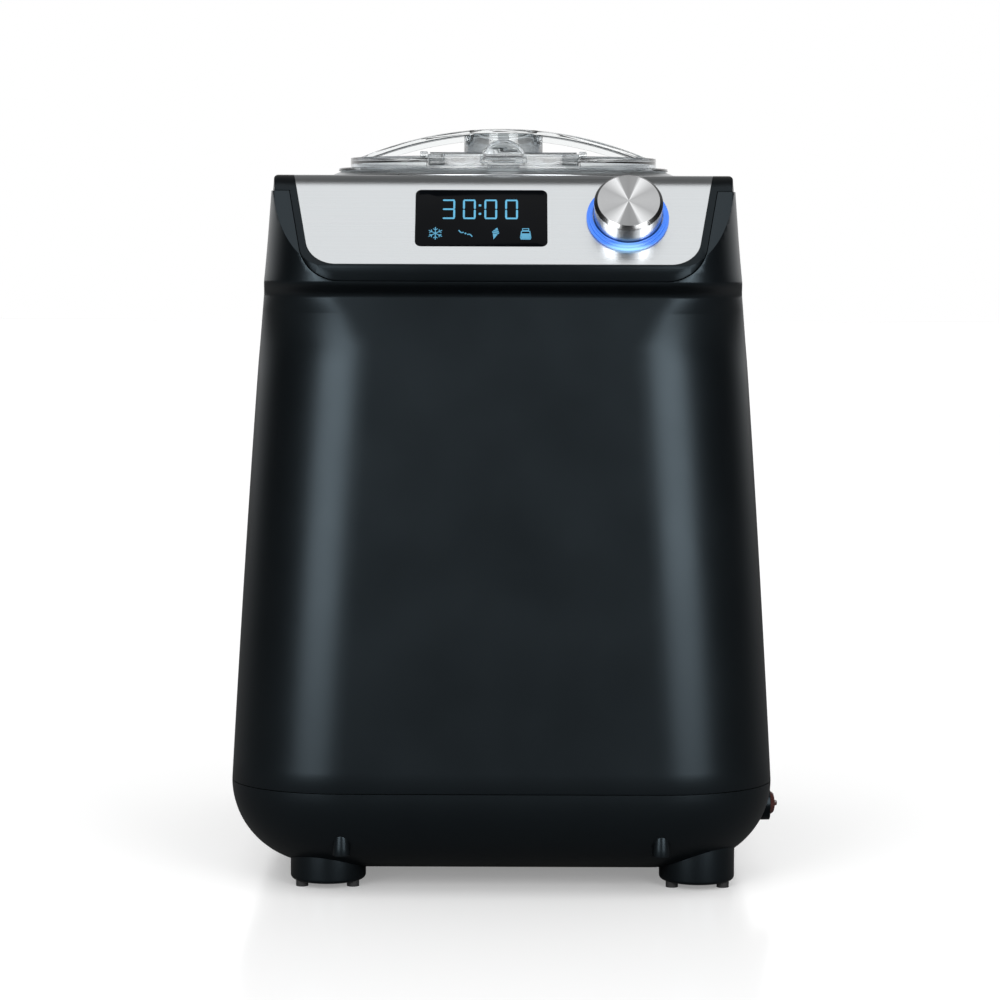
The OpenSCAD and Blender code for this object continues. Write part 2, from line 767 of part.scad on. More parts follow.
module flap_cut(grow, y_back) {
    translate([-flap_hw - grow, -lid_r - 2, flange_z + 1.5])
        cube([2 * (flap_hw + grow), lid_r + 2 + y_back, 14]);
}

module lid() {
    color(clear_plastic) at_bowl() difference() {
        union() {
            difference() {
                turned([
                    [rim_r - 5.5, flange_z], [flange_r, flange_z], [flange_r, flange_z + 1.4],
                    [lid_r, flange_z + 1.4], [lid_r, lid_top],
                    [lid_r - lid_wall, lid_top], [lid_r - lid_wall, plate_low + 2],
                    [hub_r, plate_low + 2], [hub_r, hub_top], [hub_r - lid_wall, hub_top],
                    [hub_r - lid_wall, plate_low + 2], [0, plate_low + 2], [0, plate_low],
                    [paddle_r + 0.6, plate_low], [paddle_r + 0.6, socket_low],
                    [paddle_r + 2.6, socket_low], [paddle_r + 2.6, plate_low],
                    [rim_r - 5.5, plate_low]]);
                flap_cut(0.4, -hub_r - 1.5);
            }
            arch(arch_rad, arch_rad - 2.5, arch_w);
            arch(arch_rad - 2, arch_rad - 5.5, 3);
            for (s = [-1, 1]) translate([s * (flap_hw + 3.2) - 2, hinge_y - bowl_y - 2.5, plate_low + 1])
                cube([4, 5, hinge_z - plate_low + 1.5]);
        }
        translate([-far, hinge_y - bowl_y, hinge_z]) rotate([0, 90, 0])
            cylinder(r = pin_r + running, h = 2 * far);
    }
}

module lid_seal() {
    color("#c8ced2") at_bowl() ring(rim_r - 5.3, rim_r - 0.5, seat_z + 0.05 + bowl_wall + touch,
        flange_z - seat_z - 0.05 - bowl_wall - 2 * touch);
}

module flap_pin() {
    color(steel) translate([-flap_hw - 5, hinge_y, hinge_z]) rotate([0, 90, 0])
        cylinder(r = pin_r, h = 2 * flap_hw + 10);
}

// Finger hood of the flap: outer radius, height of its axis, length and wall
hood_r = 11.75;
hood_z = flange_z + 3;
hood_l = 18;
hood_wall = 2;

module refill_flap() {
    flap_top = lid_top + 0.8;
    color(clear_plastic) difference() {
        union() {
            at_bowl() intersection() {
                translate([-flap_hw, -lid_r - 2, flange_z]) cube([2 * flap_hw, lid_r + 2 - hub_r - 3.5, 20]);
                union() {
                    ring(lid_r - lid_wall, lid_r, flange_z + 1.6, flap_top - flange_z - 1.6);
                    translate([0, 0, flap_top - 1.6]) cylinder(r = lid_r, h = 1.6);
                }
            }
            translate([0, bowl_y - lid_r + 1, hood_z]) rotate([-90, 0, 0]) intersection() {
                cylinder(r = hood_r, h = hood_l);
                translate([-hood_r - 1, -hood_r - 1, 0]) cube([2 * hood_r + 2, hood_r + 1, hood_l]);
            }
            translate([-flap_hw, hinge_y, hinge_z]) rotate([0, 90, 0]) cylinder(r = hinge_r, h = 2 * flap_hw);
        }
        translate([0, bowl_y - lid_r - 2, hood_z]) rotate([-90, 0, 0])
            cylinder(r = hood_r - hood_wall, h = hood_l + 1);
        translate([-far, hinge_y, hinge_z]) rotate([0, 90, 0]) cylinder(r = pin_r + running, h = 2 * far);
    }
}

// ---- Mixing drive --------------------------------------------------------------------------------------
// Outline of a spur gear with straight-flanked teeth. turn sets where the first tooth stands.
function tooth(r, teeth, k, turn) = let (p = 360 / teeth, a = turn + k * p)
    [for (q = [[-0.26, -1.25], [-0.13, 1], [0.13, 1], [0.26, -1.25]])
        (r + q[1] * tooth_m) * [cos(a + q[0] * 0.94 * p), sin(a + q[0] * 0.94 * p)]];

module gear(teeth, turn, bore) {
    linear_extrude(height = gear_w) difference() {
        polygon([for (k = [0 : teeth - 1], p = tooth(tooth_m * teeth / 2, teeth, k, turn)) p]);
        circle(r = bore);
    }
}

module at_pinion() {
    translate([0, pinion_y, 0]) children();
}

module drive_plate() {
    color(steel) translate([0, 0, plate_z]) linear_extrude(height = 2.5) difference() {
        translate([0, bowl_y]) circle(r = gear_r + 40);
        translate([0, bowl_y]) circle(r = collar_r + 0.3);
    }
}

module lobes(grow) {
    hull() {
        translate([0, bowl_y]) circle(r = gear_r + tooth_gap + grow);
        translate([0, pinion_y]) circle(r = pinion_r + tooth_gap + 12 + grow);
    }
}

module gear_housing() {
    color("#3a3f44") difference() {
        translate([0, 0, case_z]) linear_extrude(height = plate_z - case_z - touch) lobes(case_t);
        translate([0, 0, case_z + case_t]) linear_extrude(height = far) lobes(0);
        at_bowl() translate([0, 0, case_z - 1]) cylinder(r = shaft_r + running, h = 9);
        at_pinion() translate([0, 0, case_z - 1]) cylinder(r = motor_stem + 0.6, h = 9);
    }
}

module mixing_motor() {
    color("#9ea3a8") at_pinion() difference() {
        translate([0, 0, case_z - touch - motor[1]]) cylinder(r = motor[0], h = motor[1]);
        translate([0, 0, case_z - touch - motor[1] + 10]) cylinder(r = motor_stem + running, h = motor[1]);
    }
}

module motor_shaft() {
    color(steel) at_pinion() translate([0, 0, case_z - touch - motor[1] + 12])
        cylinder(r = motor_stem, h = gear_z + gear_w - case_z + touch + motor[1] - 11.5);
}

module motor_pinion() {
    color("#c9a24b") translate([0, pinion_y, gear_z])
        gear(pinion_teeth, 90 + 180 / pinion_teeth, motor_stem + 0.01);
}

module drive_gear() {
    color("#e4e0d2") translate([0, bowl_y, gear_z]) gear(gear_teeth, 270, shaft_r + 0.01);
}

module drive_shaft() {
    color(steel) at_bowl() {
        translate([0, 0, case_z + 0.5]) cylinder(r = shaft_r, h = head_z - case_z - 0.5);
        translate([0, 0, head_z]) cylinder(r = hex_r, h = head_h - 1, $fn = 6);
    }
}

// ---- Cooling -------------------------------------------------------------------------------------------
function vessel(r, z, h, dome) = concat(
    [[0, z]], [for (a = [-80 : 20 : 0]) [r - dome + dome * cos(a), z + dome * 0.5 * (1 + sin(a))]],
    [for (a = [0 : 20 : 80]) [r - dome + dome * cos(a), z + h - dome * 0.5 * (1 - sin(a))]], [[0, z + h]]);

dome_r = 34; // rounding of the compressor's ends

module at_compressor() {
    translate([comp_x, comp_y, 0]) children();
}

module compressor_shell() {
    color("#15171a") at_compressor() difference() {
        turned(vessel(comp_r, comp_z + touch, comp_h, dome_r));
        turned(vessel(comp_r - comp_wall, comp_z + touch + comp_wall, comp_h - 2 * comp_wall, dome_r - 1));
    }
}

module compressor_pump() {
    color("#7c8086") at_compressor() turned([
        [0, comp_z + comp_wall + 0.6], [20, comp_z + comp_wall + 0.6], [20, comp_z + 24],
        [comp_r - 18, comp_z + 24], [comp_r - 18, comp_z + comp_h - 40], [26, comp_z + comp_h - 40],
        [26, comp_z + comp_h - 24], [0, comp_z + comp_h - 24]]);
}

module compressor_bracket() {
    color("#2b2e31") difference() {
        translate([comp_x - foot_hole_x - 7, comp_y - foot_hole_y - 7, bracket_z])
            cube([2 * foot_hole_x + 14, 2 * foot_hole_y + 14, bracket_t]);
        for (h = comp_holes) translate([h[0], h[1], bracket_z - 1]) cylinder(r = bolt_r + 0.2, h = 6);
    }
}

module compressor_mounts() {
    color(rubber) for (h = comp_holes) translate([h[0], h[1], 0])
        ring(bolt_r + 0.2, 7, stand_z + 0.05, bracket_z - stand_z - 0.1);
}

module compressor_bolts() {
    color(steel) for (h = comp_holes) translate([h[0], h[1], 0]) {
        translate([0, 0, pan_z + wall + 1]) cylinder(r = bolt_r, h = comp_z - pan_z - wall);
        translate([0, 0, comp_z + 0.05]) cylinder(r = 4.6, h = 3.5, $fn = 6);
    }
}

module terminal_cover() {
    color("#2c2f33") difference() {
        translate([comp_x - 20, comp_y - comp_r - 12, comp_z + 38]) cube([40, 40, 46]);
        at_compressor() cylinder(r = comp_r + touch, h = far);
    }
}

cond_low = fan_z + 8;
cond_high = fan_z + fan_w - 2;
passes = 6;
pass_gap = (cond_high - cond_low) / (passes - 1);
cond_mid = cond_y + fin_d / 2;
bend_out = 6;

// Serpentine from the top inlet to the bottom outlet, both on the left, with half-round bends
function serpentine() = concat(
    [[fan_x - 12, cond_mid, cond_high], [fan_x, cond_mid, cond_high]],
    [for (k = [0 : passes - 2], a = [0 : 45 : 180]) let (s = k % 2 == 0 ? 1 : -1)
        [s > 0 ? fan_x + fan_w + bend_out * sin(a) : fan_x - bend_out * sin(a), cond_mid,
            cond_high - (k + 0.5) * pass_gap + pass_gap / 2 * cos(a)]],
    [[fan_x + 4, cond_mid, cond_low], [fan_x - 12, cond_mid, cond_low]]);

module condenser_tube() {
    color(copper) tube(serpentine(), tube_r, [0, 1, 0]);
}

module condenser_fins() {
    fin_gap = (fan_w - 1) / (fin_n - 1);
    color(aluminium) for (k = [0 : fin_n - 1])
        translate([fan_x + k * fin_gap, cond_y, fan_z]) cube([0.5, fin_d, fan_w + 6]);
}

module filter_drier() {
    color(copper) translate([drier_at[0], drier_at[1], drier_at[2]]) turned([
        [0, -6], [3, -6], [3, 0], [drier[0], 6], [drier[0], drier[1] - 6], [3, drier[1]], [3, drier[1] + 4],
        [0, drier[1] + 4]]);
}

module discharge_pipe() {
    exit = [comp_x + comp_r - comp_wall + 1, comp_y, comp_z + 60];
    color(copper) tube(smooth([exit, exit + [9, 0, 0], exit + [12, 6, 8],
        [fan_x - 15, cond_mid - 14, cond_high - 2], [fan_x - 15, cond_mid - 4, cond_high],
        [fan_x - 12.5, cond_mid - 0.2, cond_high]]), pipe_r - 0.2);
}

module suction_pipe() {
    low = [comp_x + 20, comp_y + 20, comp_z + comp_h - 8];
    color(copper) tube(smooth([[-coil_side, coil_end_y, coil_high], [-coil_side, coil_end_y + 10, coil_high],
        [-coil_side, coil_end_y + 17, coil_high - 9], [-coil_side, coil_end_y + 18, coil_high - 40],
        [-coil_side, coil_end_y + 18, foam_z], [low[0] + 2, low[1] + 4, low[2] + 18], low]), pipe_r, [1, 0, 0]);
}

module capillary() {
    start = [drier_at[0], drier_at[1], drier_at[2] + drier[1] + 4];
    color(copper) tube(smooth([start, start + [0, 0, 14], [coil_side, drier_at[1] - 6, foam_z + 6],
        [coil_side, coil_end_y + 18, coil_low - 6], [coil_side, coil_end_y + 8, coil_low],
        [coil_side, coil_end_y, coil_low]]), capillary_r, [1, 0, 0]);
}

module liquid_pipe() {
    color(copper) tube(smooth([[fan_x - 12, cond_mid, cond_low], [fan_x - 15, cond_mid + 3, cond_low - 3],
        [drier_at[0] + 2, drier_at[1], drier_at[2] - 15], [drier_at[0], drier_at[1], drier_at[2] - 6]]), 2.4,
        [0, 0, 1]);
}

blade_tip = fan_w / 2 - 3;
hub = 15;

module at_fan(y = 0) {
    translate([fan_x + fan_w / 2, fan_y + y, fan_z + fan_w / 2]) rotate([-90, 0, 0]) children();
}

module fan_frame() {
    color("#1d1f22") difference() {
        translate([fan_x, fan_y, fan_z]) cube([fan_w, fan_d, fan_w]);
        at_fan(-1) difference() {
            cylinder(r = fan_w / 2 - 2, h = fan_d + 2);
            for (k = [0 : 2])
                rotate([0, 0, 30 + 120 * k]) translate([hub - 1.5, -2, fan_d - 2]) cube([fan_w / 2, 4, 3]);
            ring(hub - 1.8, hub, fan_d - 2, 3);
        }
    }
}

module fan_motor() {
    color("#34383c") at_fan() {
        translate([0, 0, fan_d - 4]) cylinder(r = hub - 2, h = 4);
        translate([0, 0, fan_d - 12]) cylinder(r = hub - 6, h = 8.5);
    }
}

module fan_blades() {
    color("#22262a") at_fan() difference() {
        union() {
            translate([0, 0, 3]) cylinder(r = hub, h = fan_d - 9);
            for (k = [0 : 6]) rotate([0, 0, 360 * k / 7]) translate([hub - 1, 0, 11]) rotate([38, 0, 0])
                translate([0, -8, -0.7]) cube([blade_tip - hub, 16, 1.4]);
        }
        translate([0, 0, fan_d - 13]) cylinder(r = hub - 5, h = 20);
    }
}

// ---- Electrics -----------------------------------------------------------------------------------------
module power_board() {
    transformer = [34, 30, 26];
    relay = 9;
    color("#2f6b3c") translate([board_at[0], board_at[1], board_at[2] + 0.05]) difference() {
        union() {
            translate([-board_w[0] / 2, -board_w[1] / 2, 0]) cube([board_w[0], board_w[1], board_t]);
            translate([-16, -18, board_t - touch]) cube(transformer);
            translate([-30, 0, board_t - touch]) cylinder(r = 6, h = 20);
            for (k = [0 : 2]) translate([22, -16 + k * 12, board_t - touch]) cube([relay, relay, relay + 3]);
        }
        for (h = board_holes) translate([h[0], h[1], -1]) cylinder(r = 1.6, h = 4);
    }
}

module switch_bezel() {
    color(plastic) at_switch(bezel_x - 14) ring(rocker_r + 0.3, switch_r, 0, 14);
}

module switch_rocker() {
    color("#3a1d1c") translate([rocker_x, switch_y, switch_z]) difference() {
        rotate([0, 90, 0]) sphere(r = rocker_r);
        translate([-far - 2, -far, -far]) cube([far, 2 * far, 2 * far]);
        rotate([0, -rocker_swing / 2, 0]) translate([rocker_r - 1.3, -far, 0]) cube([far, 2 * far, far]);
        rotate([0, rocker_swing / 2, 0]) translate([rocker_r - 1.3, -far, -far]) cube([far, 2 * far, far]);
    }
}

base_pan();
feet();
foot_pads();
base_screws();
body_shell();
rear_panel();
rear_screws();
cord_gland();
top_frame();
steel_panel();
deck_ring();
display_window();
control_board();
light_ring();
encoder();
power_board();
evaporator_pot();
evaporator_coil();
insulation();
drive_plate();
gear_housing();
mixing_motor();
shaft_bush();
shaft_seal();
compressor_shell();
compressor_pump();
compressor_bracket();
compressor_mounts();
compressor_bolts();
terminal_cover();
discharge_pipe();
suction_pipe();
capillary();
filter_drier();
liquid_pipe();
condenser_fins();
condenser_tube();
fan_frame();
fan_motor();
switch_bezel();
encoder_plunger();
knob();
knob_shaft();
container();
paddle();
lid();
lid_seal();
flap_pin();
refill_flap();
drive_shaft();
drive_gear();
motor_shaft();
motor_pinion();
fan_blades();
switch_rocker();
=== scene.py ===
"""Looks of a compressor ice cream maker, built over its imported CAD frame."""

import json
import math

import bmesh
import bpy
from mathutils import Matrix, Vector


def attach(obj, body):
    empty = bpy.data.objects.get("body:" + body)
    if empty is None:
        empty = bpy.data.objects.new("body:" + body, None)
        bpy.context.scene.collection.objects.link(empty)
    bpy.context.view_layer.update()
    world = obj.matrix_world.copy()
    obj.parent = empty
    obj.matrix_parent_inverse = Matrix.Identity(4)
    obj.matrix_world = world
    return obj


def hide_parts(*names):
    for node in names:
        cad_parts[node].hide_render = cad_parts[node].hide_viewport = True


bl_info = {
    "name": "Ice Cream Maker",
    "version": (1, 0, 0),
    "blender": (4, 5, 0),
    "location": "View3D > Sidebar > Ice Cream Maker",
    "description": "Builds the visible pieces, finishes and studio of a compressor ice cream maker",
    "category": "Object",
}

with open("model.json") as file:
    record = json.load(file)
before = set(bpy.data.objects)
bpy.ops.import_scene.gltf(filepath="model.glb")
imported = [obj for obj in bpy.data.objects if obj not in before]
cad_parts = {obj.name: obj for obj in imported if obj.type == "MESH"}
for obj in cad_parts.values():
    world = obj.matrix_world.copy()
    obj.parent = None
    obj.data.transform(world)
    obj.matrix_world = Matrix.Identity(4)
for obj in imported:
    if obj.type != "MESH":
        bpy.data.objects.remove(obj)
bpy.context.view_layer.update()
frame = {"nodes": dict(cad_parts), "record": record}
MM = 0.001

# ---- Sizes of the body, in millimetres, as in the CAD source -------------------------------------------
BODY_W, BODY_D, DECK_Z, SEAM_Z = 272.8, 305.0, 356.3, 52.5
PLAN_R, PLAN_W, WALL, SEAM_GAP = 48.0, 58.0, 2.5, 0.4
FRONT_Y, REAR_Y = -155.0, 150.0
PAN_Z, PAN_ROUND = 8.0, 46.0
PANEL_LEAN, BEND_R = 37.0, 17.0
BEND_A = 90.0 - PANEL_LEAN
CREASE_Y, CHIN_Y, NOSE_R = -120.0, -154.4, 7.0
CHIN_Z, CAP_Z, CAP_INSET, FLARE_H, CORNER_H = 304.4, 348.5, 0.8, 8.0, 32.0
NOSE_Z = DECK_Z - (CREASE_Y - CHIN_Y) / math.tan(math.radians(PANEL_LEAN))
PANEL_HW, PANEL_TAPER, PANEL_L, PANEL_R = 103.4, 0.172, 54.5, 15.0
ARM_W, CHIN_W, SHEET, LIP_D, FRAME_T = 3.6, 7.4, 0.8, 12.0, 2.2
BOWL_Y, BOWL_R, OPEN_R = -17.0, 76.0, 82.0
FAR = 400.0
RIM_Z = SEAM_Z - SEAM_GAP / 2
KNOB_AT, KNOB_R, KNOB_H = (60.9, -26.6), 16.85, 14.4
WINDOW, WINDOW_AT = (64.6, 34.4, 3.0), (-10.8, -26.6)
SEAT_Z, RIM_R, RING_R = DECK_Z + 1.3, 82.9, 91.4
LID_TOP, FLANGE_Z, FLANGE_R, LID_R = DECK_Z + 10.2, DECK_Z + 3.4, 86.6, 80.4
HUB_R, LID_WALL, ARCH_H, ARCH_W, FLAP_HW = 20.7, 2.0, 15.3, 22.0, 38.0
ARCH_SPAN = LID_R - 4.9
ARCH_RAD = (ARCH_SPAN ** 2 + ARCH_H ** 2) / (2 * ARCH_H)
HINGE_Y, HINGE_Z = BOWL_Y - HUB_R - 4.5, LID_TOP + 0.6

ON_PANEL = Matrix.Translation((0, CREASE_Y, DECK_Z)) @ Matrix.Rotation(math.radians(BEND_A), 4, "X")
AT_KNOB = ON_PANEL @ Matrix.Translation((KNOB_AT[0], KNOB_AT[1], 0))
AT_BOWL = Matrix.Translation((0, BOWL_Y, 0))
ON_REAR = Matrix.Translation((0, REAR_Y, SEAM_Z)) @ Matrix.Rotation(math.pi, 4, "Z") \
    @ Matrix.Rotation(math.radians(90) - math.atan(0.04), 4, "X")


# ---- Outlines ------------------------------------------------------------------------------------------
def half_w(z):
    return BODY_W / 2 - 0.055 * (z - SEAM_Z) - 0.000042 * (z - SEAM_Z) ** 2 - 1.4 * ease((z - CAP_Z) / 70 + 1.3)


def ease(t):
    t = min(max(t, 0.0), 1.0)
    return t * t * (3 - 2 * t)


def front_y(z):
    lean = 9 * min(1.0, (z - SEAM_Z) / (CHIN_Z - SEAM_Z))
    return FRONT_Y + lean - 8.4 * ease((z - CHIN_Z + FLARE_H) / FLARE_H)


def rear_y(z):
    return REAR_Y - 0.04 * (z - SEAM_Z)


def arc(centre, radius, start, end, steps):
    angles = [math.radians(start + (end - start) * i / steps) for i in range(steps + 1)]
    return [(centre[0] + radius * math.cos(a), centre[1] + radius * math.sin(a)) for a in angles]


def near_ends(points, step=3.0):
    """Adds a point near each end of every long edge, so that shading stays flat between them."""
    out = []
    for i, p in enumerate(points):
        q = points[(i + 1) % len(points)]
        length = math.dist(p, q)
        out.append(p)
        if length > 4 * step:
            for t in (step / length, 1 - step / length):
                out.append((p[0] + (q[0] - p[0]) * t, p[1] + (q[1] - p[1]) * t))
    return out


def plan(hw, y0, y1, r, wide=0.0, steps=20, rear=None):
    """Rectangle with elliptical front corners, wide across and r deep, from the right rear corner on."""
    front = (r, wide or r)
    back = rear or front
    points = []
    for side, y, (deep, w), start in ((1, y1 - back[0], back, 0), (-1, y1 - back[0], back, 90),
                                      (-1, y0 + r, front, 180), (1, y0 + r, front, 270)):
        for x, z in arc((0, 0), 1, start, start + 90, steps):
            points.append((side * (hw - w) + w * x, y + deep * z))
    return near_ends(points)


def lift(points, z):
    return [(p[0], p[1], z) for p in points]


def corner(z):
    """Depth and width of the front corner curves, tighter where the shell flares to the chin."""
    tight = ease((z - CHIN_Z + CORNER_H) / CORNER_H)
    return PLAN_R - 8 * tight, PLAN_W - 22 * tight


def body_ring(z, inset=0.0, steps=20):
    deep, wide = corner(z)
    return lift(plan(half_w(z) - inset, front_y(z) + inset, rear_y(z) - inset, deep - inset, wide - inset, steps,
                     (PLAN_R - inset, PLAN_W - inset)), z)


def pan_ring(angle, inset=0.0, top=RIM_Z, steps=20):
    a = math.radians(angle)
    drawn = inset + PAN_ROUND * (1 - math.cos(a))
    less = inset + 0.85 * (drawn - inset)
    return lift(plan(BODY_W / 2 - drawn, FRONT_Y + drawn, REAR_Y - drawn, PLAN_R - less, PLAN_W - less, steps),
                top - (top - PAN_Z - inset) * math.sin(a))


def profile(depth, steps=20):
    """Side outline (y, z) under the nose, panel, bend and deck."""
    bend = (CREASE_Y + BEND_R * math.tan(math.radians(BEND_A / 2)), DECK_Z - BEND_R)
    nose = (CHIN_Y + NOSE_R, NOSE_Z - NOSE_R * math.tan(math.radians(PANEL_LEAN / 2)))
    return near_ends([(FAR, DECK_Z - depth)] + arc(bend, BEND_R - depth, 90, 90 + BEND_A, steps)
                     + arc(nose, NOSE_R - depth, 90 + BEND_A, 180, 8)
                     + [(CHIN_Y + depth, CHIN_Z - 9), (-FAR, CHIN_Z - 9), (-FAR, -1), (FAR, -1)], 2.0)


def slope_outline(side, foot, r, top):
    length = PANEL_L + foot
    hw = PANEL_HW + side - PANEL_TAPER * length
    lean = math.degrees(math.atan(PANEL_TAPER))
    dx = r * math.tan(math.radians(45 - lean / 2))
    wide = PANEL_HW + side + PANEL_TAPER * top
    return ([(wide, top), (-wide, top)] + arc((dx - hw, r - length), r, 180 + lean, 270, 20)
            + arc((hw - dx, r - length), r, 270, 360 - lean, 20))


def soften(points, radius, steps=3):
    """Rounds every corner of a closed outline by up to radius."""
    out = []
    n = len(points)
    for i, p in enumerate(points):
        a, b = Vector(points[i - 1]) - Vector(p), Vector(points[(i + 1) % n]) - Vector(p)
        turn = a.angle(b, 0.0)
        if p[0] == 0 or turn > math.radians(165) or turn < 0.05:
            out.append(p)
            continue
        reach = min(radius / math.tan(turn / 2), 0.45 * a.length, 0.45 * b.length)
        start, end = Vector(p) + a.normalized() * reach, Vector(p) + b.normalized() * reach
        for k in range(steps + 1):
            t = k / steps
            q = start * (1 - t) ** 2 + Vector(p) * 2 * t * (1 - t) + end * t ** 2
            out.append((q[0], q[1]))
    return out


# ---- Meshes --------------------------------------------------------------------------------------------
def mesh_object(name, verts, faces, matrix=None):
    data = bpy.data.meshes.new(name)
    data.from_pydata([tuple(v) for v in verts], [], faces)
    if matrix is not None:
        data.transform(matrix)
    data.transform(Matrix.Scale(MM, 4))
    obj = bpy.data.objects.new(name, data)
    bpy.context.scene.collection.objects.link(obj)
    outward(obj)
    return obj


def outward(obj):
    bm = bmesh.new()
    bm.from_mesh(obj.data)
    bmesh.ops.remove_doubles(bm, verts=bm.verts, dist=1e-6)
    bmesh.ops.recalc_face_normals(bm, faces=bm.faces)
    bm.to_mesh(obj.data)
    bm.free()


def loft(name, rings, loop=False, matrix=None):
    """Closed skin through rings of equally many points. A loop joins the last ring to the first."""
    n, m = len(rings[0]), len(rings)
    faces = []
    for k in range(m if loop else m - 1):
        up = (k + 1) % m
        faces += [(k * n + i, k * n + (i + 1) % n, up * n + (i + 1) % n, up * n + i) for i in range(n)]
    if not loop:
        faces += [tuple(reversed(range(n))), tuple(range((m - 1) * n, m * n))]
    return mesh_object(name, [p for r in rings for p in r], faces, matrix)


def prism(name, outline, low, high, matrix=None):
    return loft(name, [lift(outline, low), lift(outline, high)], matrix=matrix)


def block(name, low, high, matrix=None):
    return prism(name, [(low[0], low[1]), (high[0], low[1]), (high[0], high[1]), (low[0], high[1])],
                 low[2], high[2], matrix)


def rod(name, radius, low, high, matrix=None, steps=64):
    return prism(name, arc((0, 0), radius, 0, 360 - 360 / steps, steps - 1), low, high, matrix)


def turned(name, points, matrix=None, steps=144):
    """Closed outline of (radius, height) points, turned about Z."""
    n = len(points)
    verts, faces = [], []
    for k in range(steps):
        a = 2 * math.pi * k / steps
        verts += [(p[0] * math.cos(a), p[0] * math.sin(a), p[1]) for p in points]
    for k in range(steps):
        j = (k + 1) % steps
        for i in range(n):
            up = (i + 1) % n
            if points[i][0] == 0 and points[up][0] == 0:
                continue
            if points[i][0] == 0:
                faces.append((k * n + i, k * n + up, j * n + up))
            elif points[up][0] == 0:
                faces.append((k * n + i, k * n + up, j * n + i))
            else:
                faces.append((k * n + i, k * n + up, j * n + up, j * n + i))
    return mesh_object(name, verts, faces, matrix)


def across(name, outline, half, matrix=None):
    """Side outline (y, z) drawn out from -half to half along X."""
    return loft(name, [[(-half, p[0], p[1]) for p in outline], [(half, p[0], p[1]) for p in outline]], matrix=matrix)


def settle(obj):
    """Turns the modified object into a plain mesh without modifiers."""
    graph = bpy.context.evaluated_depsgraph_get()
    data = bpy.data.meshes.new_from_object(obj.evaluated_get(graph))
    old = obj.data
    obj.modifiers.clear()
    obj.data = data
    data.name = obj.name
    if old.users == 0:
        bpy.data.meshes.remove(old)
    return obj


def combine(obj, tool, operation="DIFFERENCE", solver="MANIFOLD"):
    """Joins, cuts or keeps the common part of two closed meshes. The tool is used up."""
    mod = obj.modifiers.new("combine", "BOOLEAN")
    mod.operation = operation
    mod.solver = solver
    mod.object = tool
    before = len(obj.data.polygons)
    settle(obj)
    if not obj.data.polygons:
        raise RuntimeError(f"{operation} of {obj.name} and {tool.name} left nothing of {before} faces")
    bpy.data.meshes.remove(tool.data)
    return obj


def bevel(obj, width, angle=40.0, segments=2):
    mod = obj.modifiers.new("bevel", "BEVEL")
    mod.width = width * MM
    mod.segments = segments
    mod.limit_method = "ANGLE"
    mod.angle_limit = math.radians(angle)
    return settle(obj)


def smooth(obj, angle=32.0):
    obj.data.shade_smooth()
    obj.data.set_sharp_from_angle(angle=math.radians(angle))
    return obj


def copy_node(node, name, smooth_angle=32.0):
    """A merged copy of a CAD node, with smooth shading on its round faces."""
    data = frame["nodes"][node].data.copy()
    obj = bpy.data.objects.new(name, data)
    bpy.context.scene.collection.objects.link(obj)
    bm = bmesh.new()
    bm.from_mesh(data)
    bmesh.ops.remove_doubles(bm, verts=bm.verts, dist=1e-6)
    bmesh.ops.dissolve_limit(bm, angle_limit=math.radians(0.5), verts=bm.verts, edges=bm.edges)
    bm.to_mesh(data)
    bm.free()
    data.name = name
    return smooth(obj, smooth_angle)


def place(obj, body, material, slot, *nodes, angle=32.0):
    """Gives a finished piece its material and its body, and hides the CAD nodes it stands for; the slot is not used."""
    obj.data.materials.clear()
    obj.data.materials.append(material)
    for polygon in obj.data.polygons:
        polygon.material_index = 0
    if angle:
        smooth(obj, angle)
    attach(obj, body)
    if nodes:
        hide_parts(*nodes)
    return obj


# ---- Shader groups and finishes ------------------------------------------------------------------------
def new_group(name, inputs, outputs):
    tree = bpy.data.node_groups.new(name, "ShaderNodeTree")
    for label, kind, value in inputs:
        socket = tree.interface.new_socket(label, in_out="INPUT", socket_type=kind)
        socket.default_value = value
    for label, kind in outputs:
        tree.interface.new_socket(label, in_out="OUTPUT", socket_type=kind)
    return tree, tree.nodes.new("NodeGroupInput"), tree.nodes.new("NodeGroupOutput")


def math_node(tree, operation, a, b=None):
    node = tree.nodes.new("ShaderNodeMath")
    node.operation = operation
    for k, value in enumerate((a, b)):
        if value is None:
            continue
        if isinstance(value, (int, float)):
            node.inputs[k].default_value = value
        else:
            tree.links.new(value, node.inputs[k])
    return node.outputs[0]


def noise(tree, vector, scale, detail=2.0, dimensions="3D"):
    node = tree.nodes.new("ShaderNodeTexNoise")
    node.noise_dimensions = dimensions
    tree.links.new(vector, node.inputs["Vector" if dimensions != "1D" else "W"])
    if isinstance(scale, (int, float)):
        node.inputs["Scale"].default_value = scale
    else:
        tree.links.new(scale, node.inputs["Scale"])
    node.inputs["Detail"].default_value = detail
    return node.outputs["Fac"]


def object_vector(tree):
    return tree.nodes.new("ShaderNodeTexCoord").outputs["Object"]


def grain_group():
    """Fine moulded or cast grain: a height, and a slow tone that varies over the piece."""
    tree, given, out = new_group("fine_grain", [("Grain Scale", "NodeSocketFloat", 3000.0),
                                                ("Cloud Scale", "NodeSocketFloat", 30.0)],
                                 [("Height", "NodeSocketFloat"), ("Tone", "NodeSocketFloat")])
    place_in = object_vector(tree)
    tree.links.new(noise(tree, place_in, given.outputs[0], 2.0), out.inputs[0])
    tree.links.new(noise(tree, place_in, given.outputs[1], 4.0), out.inputs[1])
    return tree


